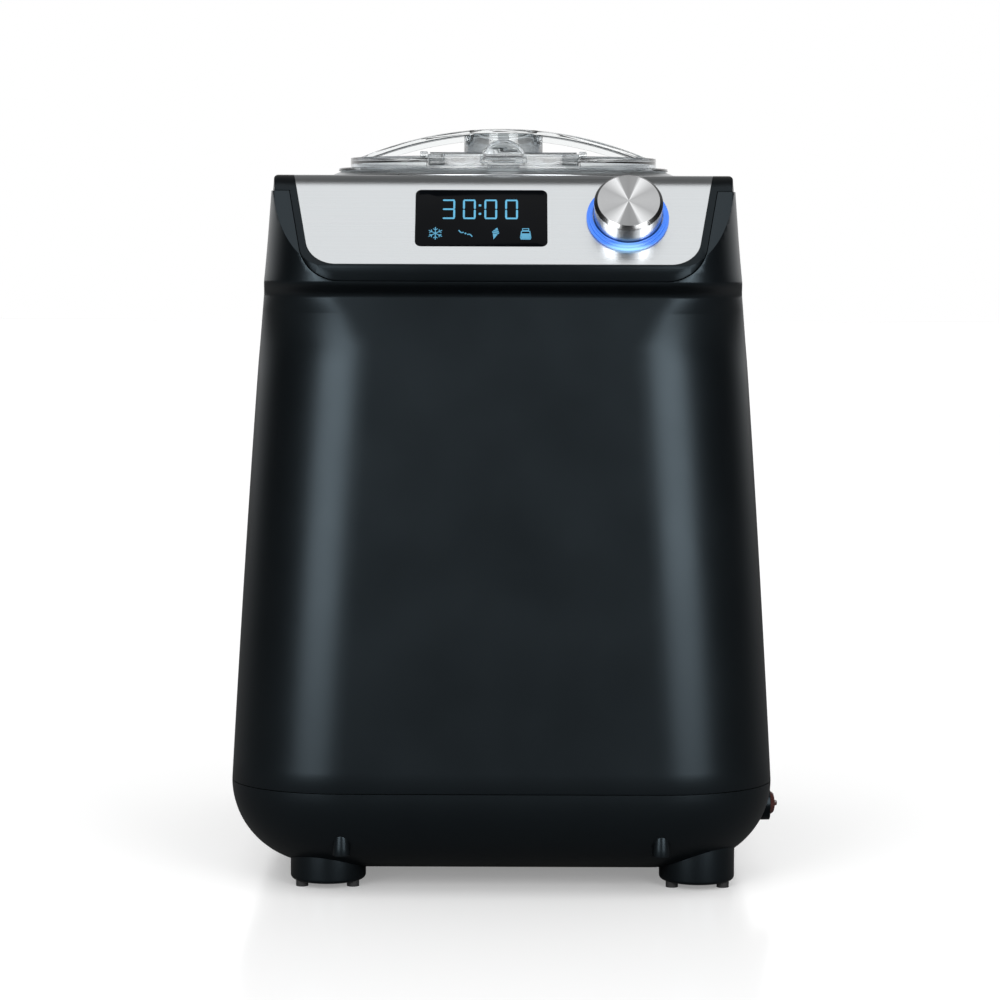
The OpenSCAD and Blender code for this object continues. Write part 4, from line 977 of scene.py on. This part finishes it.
def jar(x, y):
    outline = [(-2.2, -3.4), (2.2, -3.4), (2.5, -2.4), (2.0, 1.4), (-2.0, 1.4), (-2.5, -2.4)]
    body = ribbon([(x + p[0], y + p[1]) for p in outline + outline[:1]], 0.45)
    fill = [[(x - 2.1, y - 3.1), (x + 2.1, y - 3.1), (x + 2.1, y + 0.1), (x - 2.1, y + 0.1)]]
    neck = ribbon([(x + a, y + b) for a, b in ((-1.5, 1.9), (1.5, 1.9), (1.5, 3.0), (-1.5, 3.0), (-1.5, 1.9))], 0.4)
    return body + fill + neck


class ICEMAKER_OT_display(bpy.types.Operator):
    """Build the glossy window with its lit time and symbols"""
    bl_idname = "icemaker.display"
    bl_label = "Display"

    def execute(self, context):
        glass = window_prism(0.0, -1.8, 0.3)
        bevel(glass, 0.25, 50)
        glass.name = "window_skin"
        place(glass, "housing", finish("window_gloss"), "window_gloss", "display_window")
        panel = context.scene.icemaker_panel
        top = -15.45
        shapes = []
        for symbol, x in zip("3000", (-30.3, -20.2, -9.7, 0.5)):
            shapes += digit(symbol, x + 0.35, top - 12.0, 6.3, 12.0, 0.95)
        for y in (top - 3.6, top - 8.8):
            shapes.append([(-12.1, y - 0.6), (-10.9, y - 0.6), (-10.9, y + 0.6), (-12.1, y + 0.6)])
        self.lit("lit_digits", shapes, glow_finish("lit_time", tuple(panel.digits), panel.digit_glow))
        signs = snowflake(-33.2, -36.2, 3.6) + blade(-18.5, -36.2) + cone(-3.9, -36.2) + jar(10.9, -36.2)
        self.lit("lit_signs", signs, glow_finish("lit_symbols", tuple(c * 0.8 for c in panel.digits),
                                                 panel.digit_glow))
        return {"FINISHED"}

    @staticmethod
    def lit(name, shapes, material):
        verts, faces = [], []
        for k, shape in enumerate(shapes):
            start, n = len(verts), len(shape)
            verts += [(p[0], p[1], 0.3 + z) for z in (0.0, 0.02 + 0.0005 * k) for p in shape]
            faces += [tuple(start + i for i in reversed(range(n))), tuple(start + n + i for i in range(n))]
            faces += [(start + i, start + (i + 1) % n, start + n + (i + 1) % n, start + n + i) for i in range(n)]
        place(mesh_object(name, verts, faces, ON_PANEL), "housing", material, "light_blue")


class ICEMAKER_OT_knob(bpy.types.Operator):
    """Build the spun aluminium knob and the light ring under it"""
    bl_idname = "icemaker.knob"
    bl_label = "Knob and Light Ring"

    def execute(self, context):
        r, h, gap = KNOB_R, KNOB_H, 2.0
        knob = turned("knob_skin", [
            (3.02, gap), (6, gap), (6, h - 5.4), (r - 2, h - 5.4), (r - 2, gap), (r - 0.25, gap), (r, gap + 0.25),
            (r, h - 1.75), (r - 0.06, h - 1.6), (r - 1.5, h - 0.12), (r - 1.65, h), (r * 0.66, h), (r * 0.33, h),
            (0, h), (0, h - 3.3), (3.02, h - 3.3)], AT_KNOB, 192)
        place(knob, "dial", finish("spun_aluminium"), "spun_aluminium", "knob", angle=20)
        ring = turned("light_ring_skin", soften([
            (r + 0.35, 0.05), (r + 3.35, 0.05), (r + 3.35, 1.2), (r + 2.2, 1.4), (r + 2.2, 2.4), (r + 1.2, 2.6),
            (r + 1.2, 3.4), (r + 0.35, 3.4)], 0.2, 2), AT_KNOB, 160)
        place(ring, "housing", finish("light_blue"), "light_blue", "light_ring")
        return {"FINISHED"}


# ---- Lid, bowl and paddle ------------------------------------------------------------------------------
def arch(name, outer, inner, width):
    low = LID_TOP + ARCH_H - ARCH_RAD
    half = math.degrees(math.acos((ARCH_RAD - ARCH_H - 0.8) / outer))
    inside = math.degrees(math.acos((ARCH_RAD - ARCH_H - 0.8) / inner))
    outline = arc((0, low), outer, 90 - half, 90 + half, 72) + arc((0, low), inner, 90 + inside, 90 - inside, 72)
    turn = Matrix.Rotation(math.radians(90), 4, "X")
    body = prism(name, outline, -width / 2, width / 2, AT_BOWL @ turn)
    return body


class ICEMAKER_OT_lid(bpy.types.Operator):
    """Build the clear lid with its arched handle, and the hinged refill flap"""
    bl_idname = "icemaker.lid"
    bl_label = "Lid and Flap"

    def execute(self, context):
        low, top = FLANGE_Z + 3.5, LID_TOP
        w = LID_WALL
        edge = context.scene.icemaker_lid.edge / MM
        lid = turned("lid_skin", soften([
            (RIM_R - 5.5, FLANGE_Z), (FLANGE_R, FLANGE_Z), (FLANGE_R, FLANGE_Z + 1.4), (LID_R, FLANGE_Z + 1.4),
            (LID_R, top), (LID_R - w, top), (LID_R - w, low + 2), (HUB_R, low + 2), (HUB_R, top + ARCH_H - 2.4),
            (HUB_R - w, top + ARCH_H - 2.4), (HUB_R - w, low + 2), (0, low + 2), (0, low), (6.6, low),
            (6.6, DECK_Z), (8.6, DECK_Z), (8.6, low), (RIM_R - 5.5, low)], edge), AT_BOWL, 192)
        combine(lid, block("flap_room", (-FLAP_HW - 0.4, -LID_R - 2, FLANGE_Z + 1.5),
                           (FLAP_HW + 0.4, -HUB_R - 1.5, FLANGE_Z + 15.5), AT_BOWL))
        strap = bevel(arch("arch_strap", ARCH_RAD, ARCH_RAD - 2.5, ARCH_W), edge, 40)
        combine(strap, arch("arch_web", ARCH_RAD - 2, ARCH_RAD - 5.5, 3.0), "UNION")
        combine(lid, strap, "UNION")
        for s in (-1, 1):
            x = s * (FLAP_HW + 3.2)
            ear = block("ear", (x - 2, HINGE_Y - 2.5, low + 1), (x + 2, HINGE_Y + 2.5, HINGE_Z + 2.5))
            combine(lid, bevel(ear, 0.4), "UNION")
        combine(lid, rod("pin_bore", 1.05, -60, 60, Matrix.Translation((0, HINGE_Y, HINGE_Z))
                         @ Matrix.Rotation(math.pi / 2, 4, "Y"), 24))
        place(lid, "cover", finish("clear_lid"), "clear_lid", "lid")
        self.flap(edge)
        for node, slot in (("lid_seal", "clear_seal"), ("flap_pin", "bright_steel")):
            place(copy_node(node, node + "_skin"), "cover", finish(slot), slot, node, angle=None)
        return {"FINISHED"}

    @staticmethod
    def flap(edge):
        top = LID_TOP + 0.8
        flap = turned("flap_skin", soften([
            (0, top - 1.6), (LID_R - LID_WALL, top - 1.6), (LID_R - LID_WALL, FLANGE_Z + 1.6), (LID_R, FLANGE_Z + 1.6),
            (LID_R, top), (0, top)], edge), AT_BOWL, 192)
        combine(flap, block("flap_room", (-FLAP_HW, -LID_R - 2, FLANGE_Z), (FLAP_HW, -HUB_R - 3.5, FLANGE_Z + 20),
                            AT_BOWL), "INTERSECT")
        lower = Matrix.Translation((0, BOWL_Y - LID_R, FLANGE_Z + 3)) @ Matrix.Rotation(-math.pi / 2, 4, "X")
        hood = rod("hood", 11.75, 1, 19, lower, 64)
        combine(hood, block("hood_half", (-20, -20, 1), (20, 0, 19), lower), "INTERSECT")
        combine(flap, bevel(hood, 0.3), "UNION")
        combine(flap, rod("barrel", 2.2, -FLAP_HW, FLAP_HW, Matrix.Translation((0, HINGE_Y, HINGE_Z))
                          @ Matrix.Rotation(math.pi / 2, 4, "Y"), 32), "UNION")
        room = rod("finger_room", 9.75, -2, 17, lower, 64)
        combine(room, block("finger_half", (-20, -20, -2), (20, 1, 17), lower), "INTERSECT")
        combine(flap, room)
        combine(flap, rod("pin_bore", 1.05, -60, 60, Matrix.Translation((0, HINGE_Y, HINGE_Z))
                          @ Matrix.Rotation(math.pi / 2, 4, "Y"), 24))
        place(flap, "flap", finish("clear_lid"), "clear_lid", "refill_flap")


class ICEMAKER_OT_bowl(bpy.types.Operator):
    """Build the removable container and smooth the paddle inside it"""
    bl_idname = "icemaker.bowl"
    bl_label = "Container and Paddle"

    def execute(self, context):
        low, core_top, w = SEAT_Z - 151.6, SEAT_Z - 151.6 + 48, 1.5
        bowl = turned("container_skin", soften([
            (6, low), (BOWL_R, low), (BOWL_R, SEAT_Z + 0.05), (RIM_R, SEAT_Z + 0.05), (RIM_R, SEAT_Z + 0.05 + w),
            (BOWL_R - w, SEAT_Z + 0.05 + w), (BOWL_R - w, low + w), (8, low + w), (8, core_top), (6, core_top)], 0.6),
            AT_BOWL, 160)
        place(bowl, "bowl", finish("bowl_aluminium"), "bowl_aluminium", "container")
        paddle = bevel(copy_node("paddle", "paddle_skin"), 0.4, 50)
        place(paddle, "mixer", finish("white_plastic"), "white_plastic", "paddle")
        return {"FINISHED"}


class ICEMAKER_OT_switch(bpy.types.Operator):
    """Smooth the mains switch"""
    bl_idname = "icemaker.switch"
    bl_label = "Mains Switch"

    def execute(self, context):
        bezel = bevel(copy_node("switch_bezel", "bezel_skin"), 0.4, 50)
        place(bezel, "housing", finish("frame_plastic"), "frame_plastic", "switch_bezel")
        rocker = copy_node("switch_rocker", "rocker_skin")
        place(rocker, "rocker", finish("rocker_plastic"), "rocker_plastic", "switch_rocker", angle=25)
        return {"FINISHED"}


class ICEMAKER_OT_works(bpy.types.Operator):
    """Give the inner pieces their finishes"""
    bl_idname = "icemaker.works"
    bl_label = "Inner Works"

    def execute(self, context):
        for name, obj in frame["nodes"].items():
            slot = obj.data.materials[0].name.split(".")[0] if obj.data.materials else ""
            if slot not in KNOWN_SLOTS:
                slot = SLOT_OF.get(name, "grey_plastic")
            obj.data.materials.clear()
            obj.data.materials.append(finish(slot))
        return {"FINISHED"}


SLOT_OF = {m: entry["slot"] for entry in frame["record"].get("materials", []) for m in entry.get("nodes", [])}
KNOWN_SLOTS = {entry["slot"] for entry in frame["record"].get("materials", [])}


# ---- Studio --------------------------------------------------------------------------------------------
def soft_light(name, at, target, width, height, power, colour=(1, 1, 1)):
    data = bpy.data.lights.new(name, "AREA")
    data.shape = "RECTANGLE"
    data.size, data.size_y = width, height
    data.energy = power
    data.color = colour
    obj = bpy.data.objects.new(name, data)
    bpy.context.scene.collection.objects.link(obj)
    obj.location = at
    obj.rotation_euler = (Vector(target) - Vector(at)).to_track_quat("-Z", "Y").to_euler()
    return obj


def ramp_node(tree, value, start, end, low, high):
    node = tree.nodes.new("ShaderNodeMapRange")
    node.interpolation_type = "SMOOTHSTEP"
    tree.links.new(value, node.inputs["Value"])
    for key, number in (("From Min", start), ("From Max", end), ("To Min", low), ("To Max", high)):
        node.inputs[key].default_value = number
    return node.outputs[0]


class ICEMAKER_OT_studio(bpy.types.Operator):
    """Set up the floor, the light and the camera"""
    bl_idname = "icemaker.studio"
    bl_label = "Studio"

    def execute(self, context):
        scene = context.scene
        studio = scene.icemaker_studio
        scene.view_settings.view_transform = "Standard"
        floor = block("floor", (-6000, -1500, -10), (6000, 9000, 0))
        floor.data.materials.append(self.floor_finish(tuple(studio.floor)))
        self.surroundings(scene)
        for name, side in (("left_softbox", -1), ("right_softbox", 1)):
            soft_light(name, (side * 1.12, -1.8, 0.75), (side * 1.12, 0, 0.75), 1.15, 1.7, studio.side_power)
        soft_light("top_softbox", (0, -0.55, 1.7), (0, -0.1, 0.3), 2.2, 1.1, studio.top_power)
        camera = bpy.data.objects.new("camera", bpy.data.cameras.new("camera"))
        scene.collection.objects.link(camera)
        camera.data.lens = studio.lens
        camera.data.sensor_width = 36.0
        camera.matrix_world = (Matrix.Translation(studio.camera_at)
                               @ Matrix.Rotation(math.radians(90) - studio.camera_tilt, 4, "X")
                               @ Matrix.Rotation(studio.camera_roll, 4, "Z"))
        scene.camera = camera
        return {"FINISHED"}

    @staticmethod
    def floor_finish(colour):
        """Pale polished floor that gives back little light to what stands on it."""
        material = bpy.data.materials.new("floor_gloss")
        material.use_nodes = True
        tree = material.node_tree
        pale = tree.nodes["Principled BSDF"]
        for label, value in (("Base Color", (*colour, 1)), ("Emission Color", (1, 1, 1, 1)), ("Roughness", 0.16),
                             ("Emission Strength", 0.25), ("IOR", 1.25)):
            pale.inputs[label].default_value = value
        dull = tree.nodes.new("ShaderNodeBsdfDiffuse")
        dull.inputs["Color"].default_value = (0.1, 0.1, 0.1, 1)
        path, both = tree.nodes.new("ShaderNodeLightPath"), tree.nodes.new("ShaderNodeMixShader")
        tree.links.new(path.outputs["Is Camera Ray"], both.inputs[0])
        tree.links.new(dull.outputs[0], both.inputs[1])
        tree.links.new(pale.outputs[0], both.inputs[2])
        tree.links.new(both.outputs[0], tree.nodes["Material Output"].inputs["Surface"])
        return material

    @staticmethod
    def surroundings(scene):
        """A white room where it is seen directly or through the lid, and a dim one for what lights the piece."""
        world = bpy.data.worlds.new("studio_room")
        world.use_nodes = True
        tree = world.node_tree
        dim, out = tree.nodes["Background"], tree.nodes["World Output"]
        split = tree.nodes.new("ShaderNodeSeparateXYZ")
        tree.links.new(tree.nodes.new("ShaderNodeTexCoord").outputs["Generated"], split.inputs[0])
        behind = ramp_node(tree, split.outputs["Y"], 0.1, 0.85, 0.0, 1.0)
        low = ramp_node(tree, split.outputs["Z"], 0.24, 0.42, 0.95, 0.16)
        high = ramp_node(tree, split.outputs["Z"], -0.02, 0.0, 0.04, 1.0)
        strength = math_node(tree, "MULTIPLY", math_node(tree, "MULTIPLY", behind, low), high)
        tree.links.new(math_node(tree, "ADD", strength, 0.014), dim.inputs["Strength"])
        white, mix = tree.nodes.new("ShaderNodeBackground"), tree.nodes.new("ShaderNodeMixShader")
        white.inputs["Color"].default_value = (1, 1, 1, 1)
        dim.inputs["Color"].default_value = (1, 1, 1, 1)
        path = tree.nodes.new("ShaderNodeLightPath")
        direct = math_node(tree, "MAXIMUM", path.outputs["Is Camera Ray"], path.outputs["Is Transmission Ray"])
        direct = math_node(tree, "MAXIMUM", direct, path.outputs["Is Diffuse Ray"])
        tree.links.new(direct, mix.inputs[0])
        tree.links.new(dim.outputs[0], mix.inputs[1])
        tree.links.new(white.outputs[0], mix.inputs[2])
        tree.links.new(mix.outputs[0], out.inputs["Surface"])
        scene.world = world


# ---- Settings ------------------------------------------------------------------------------------------
def colour_prop(name, description, default):
    return bpy.props.FloatVectorProperty(name=name, description=description, default=default, subtype="COLOR",
                                         size=3, min=0.0, max=1.0)


class IcemakerBody(bpy.types.PropertyGroup):
    plastic: colour_prop("Plastic", "Colour of the moulded body and base", (0.0014, 0.0019, 0.0024))
    edge: bpy.props.FloatProperty(name="Seam Edge", description="Rounding of the shell's seam edges",
                                  default=0.0003, unit="LENGTH")


class IcemakerPanel(bpy.types.PropertyGroup):
    steel: colour_prop("Steel", "Colour of the brushed steel sheet", (0.67, 0.695, 0.71))
    digits: colour_prop("Digits", "Colour of the lit time and symbols", (0.09, 0.4, 0.62))
    digit_glow: bpy.props.FloatProperty(name="Digit Glow", description="Strength of the lit time", default=0.8)
    ring: colour_prop("Ring", "Colour of the light ring", (0.03, 0.13, 0.62))
    ring_hot: colour_prop("Ring Centre", "Colour of the light ring at its brightest", (0.75, 0.9, 1.0))
    ring_glow: bpy.props.FloatProperty(name="Ring Glow", description="Strength of the light ring", default=0.2)


class IcemakerLid(bpy.types.PropertyGroup):
    tint: colour_prop("Tint", "Tint of the clear plastic", (0.97, 0.985, 0.985))
    edge: bpy.props.FloatProperty(name="Edge", description="Rounding of the clear edges", default=0.0004,
                                  unit="LENGTH")


class IcemakerStudio(bpy.types.PropertyGroup):
    floor: colour_prop("Floor", "Colour of the floor", (0.62, 0.62, 0.62))
    side_power: bpy.props.FloatProperty(name="Side Lights", description="Power of each side softbox", default=31.0,
                                        unit="POWER")
    top_power: bpy.props.FloatProperty(name="Top Light", description="Power of the overhead softbox", default=8.3,
                                       unit="POWER")
    lens: bpy.props.FloatProperty(name="Lens", description="Focal length", default=111.6, unit="CAMERA")
    camera_at: bpy.props.FloatVectorProperty(name="Camera", description="Place of the camera",
                                             default=(-0.0012, -1.661, 0.3317), subtype="TRANSLATION", size=3)
    camera_tilt: bpy.props.FloatProperty(name="Tilt", description="Downward tilt of the camera",
                                         default=math.radians(5.069), unit="ROTATION")
    camera_roll: bpy.props.FloatProperty(name="Roll", description="Roll of the camera", default=math.radians(0.19),
                                         unit="ROTATION")


class ICEMAKER_PT_panel(bpy.types.Panel):
    bl_idname = "ICEMAKER_PT_panel"
    bl_label = "Ice Cream Maker"
    bl_space_type = "VIEW_3D"
    bl_region_type = "UI"
    bl_category = "Ice Cream Maker"

    def draw(self, context):
        for group in SETTINGS.values():
            settings = getattr(context.scene, group)
            box = self.layout.box()
            for key in settings.__annotations__:
                box.prop(settings, key)
        for operator in OPERATORS:
            self.layout.operator(operator.bl_idname)


SETTINGS = {IcemakerBody: "icemaker_body", IcemakerPanel: "icemaker_panel", IcemakerLid: "icemaker_lid",
            IcemakerStudio: "icemaker_studio"}
OPERATORS = (ICEMAKER_OT_works, ICEMAKER_OT_body, ICEMAKER_OT_base, ICEMAKER_OT_screws, ICEMAKER_OT_rear,
             ICEMAKER_OT_frame, ICEMAKER_OT_display, ICEMAKER_OT_knob, ICEMAKER_OT_lid, ICEMAKER_OT_bowl,
             ICEMAKER_OT_switch, ICEMAKER_OT_studio)


def register():
    for group, name in SETTINGS.items():
        bpy.utils.register_class(group)
        setattr(bpy.types.Scene, name, bpy.props.PointerProperty(type=group))
    for cls in OPERATORS + (ICEMAKER_PT_panel,):
        bpy.utils.register_class(cls)


def unregister():
    for cls in reversed(OPERATORS + (ICEMAKER_PT_panel,)):
        bpy.utils.unregister_class(cls)
    for group, name in SETTINGS.items():
        delattr(bpy.types.Scene, name)
        bpy.utils.unregister_class(group)


def main():
    register()
    bpy.ops.icemaker.works()
    bpy.ops.icemaker.body()
    bpy.ops.icemaker.base()
    bpy.ops.icemaker.screws()
    bpy.ops.icemaker.rear()
    bpy.ops.icemaker.frame()
    bpy.ops.icemaker.display()
    bpy.ops.icemaker.knob()
    bpy.ops.icemaker.lid()
    bpy.ops.icemaker.bowl()
    bpy.ops.icemaker.switch()
    bpy.ops.icemaker.studio()


if __name__ == "__main__":
    main()
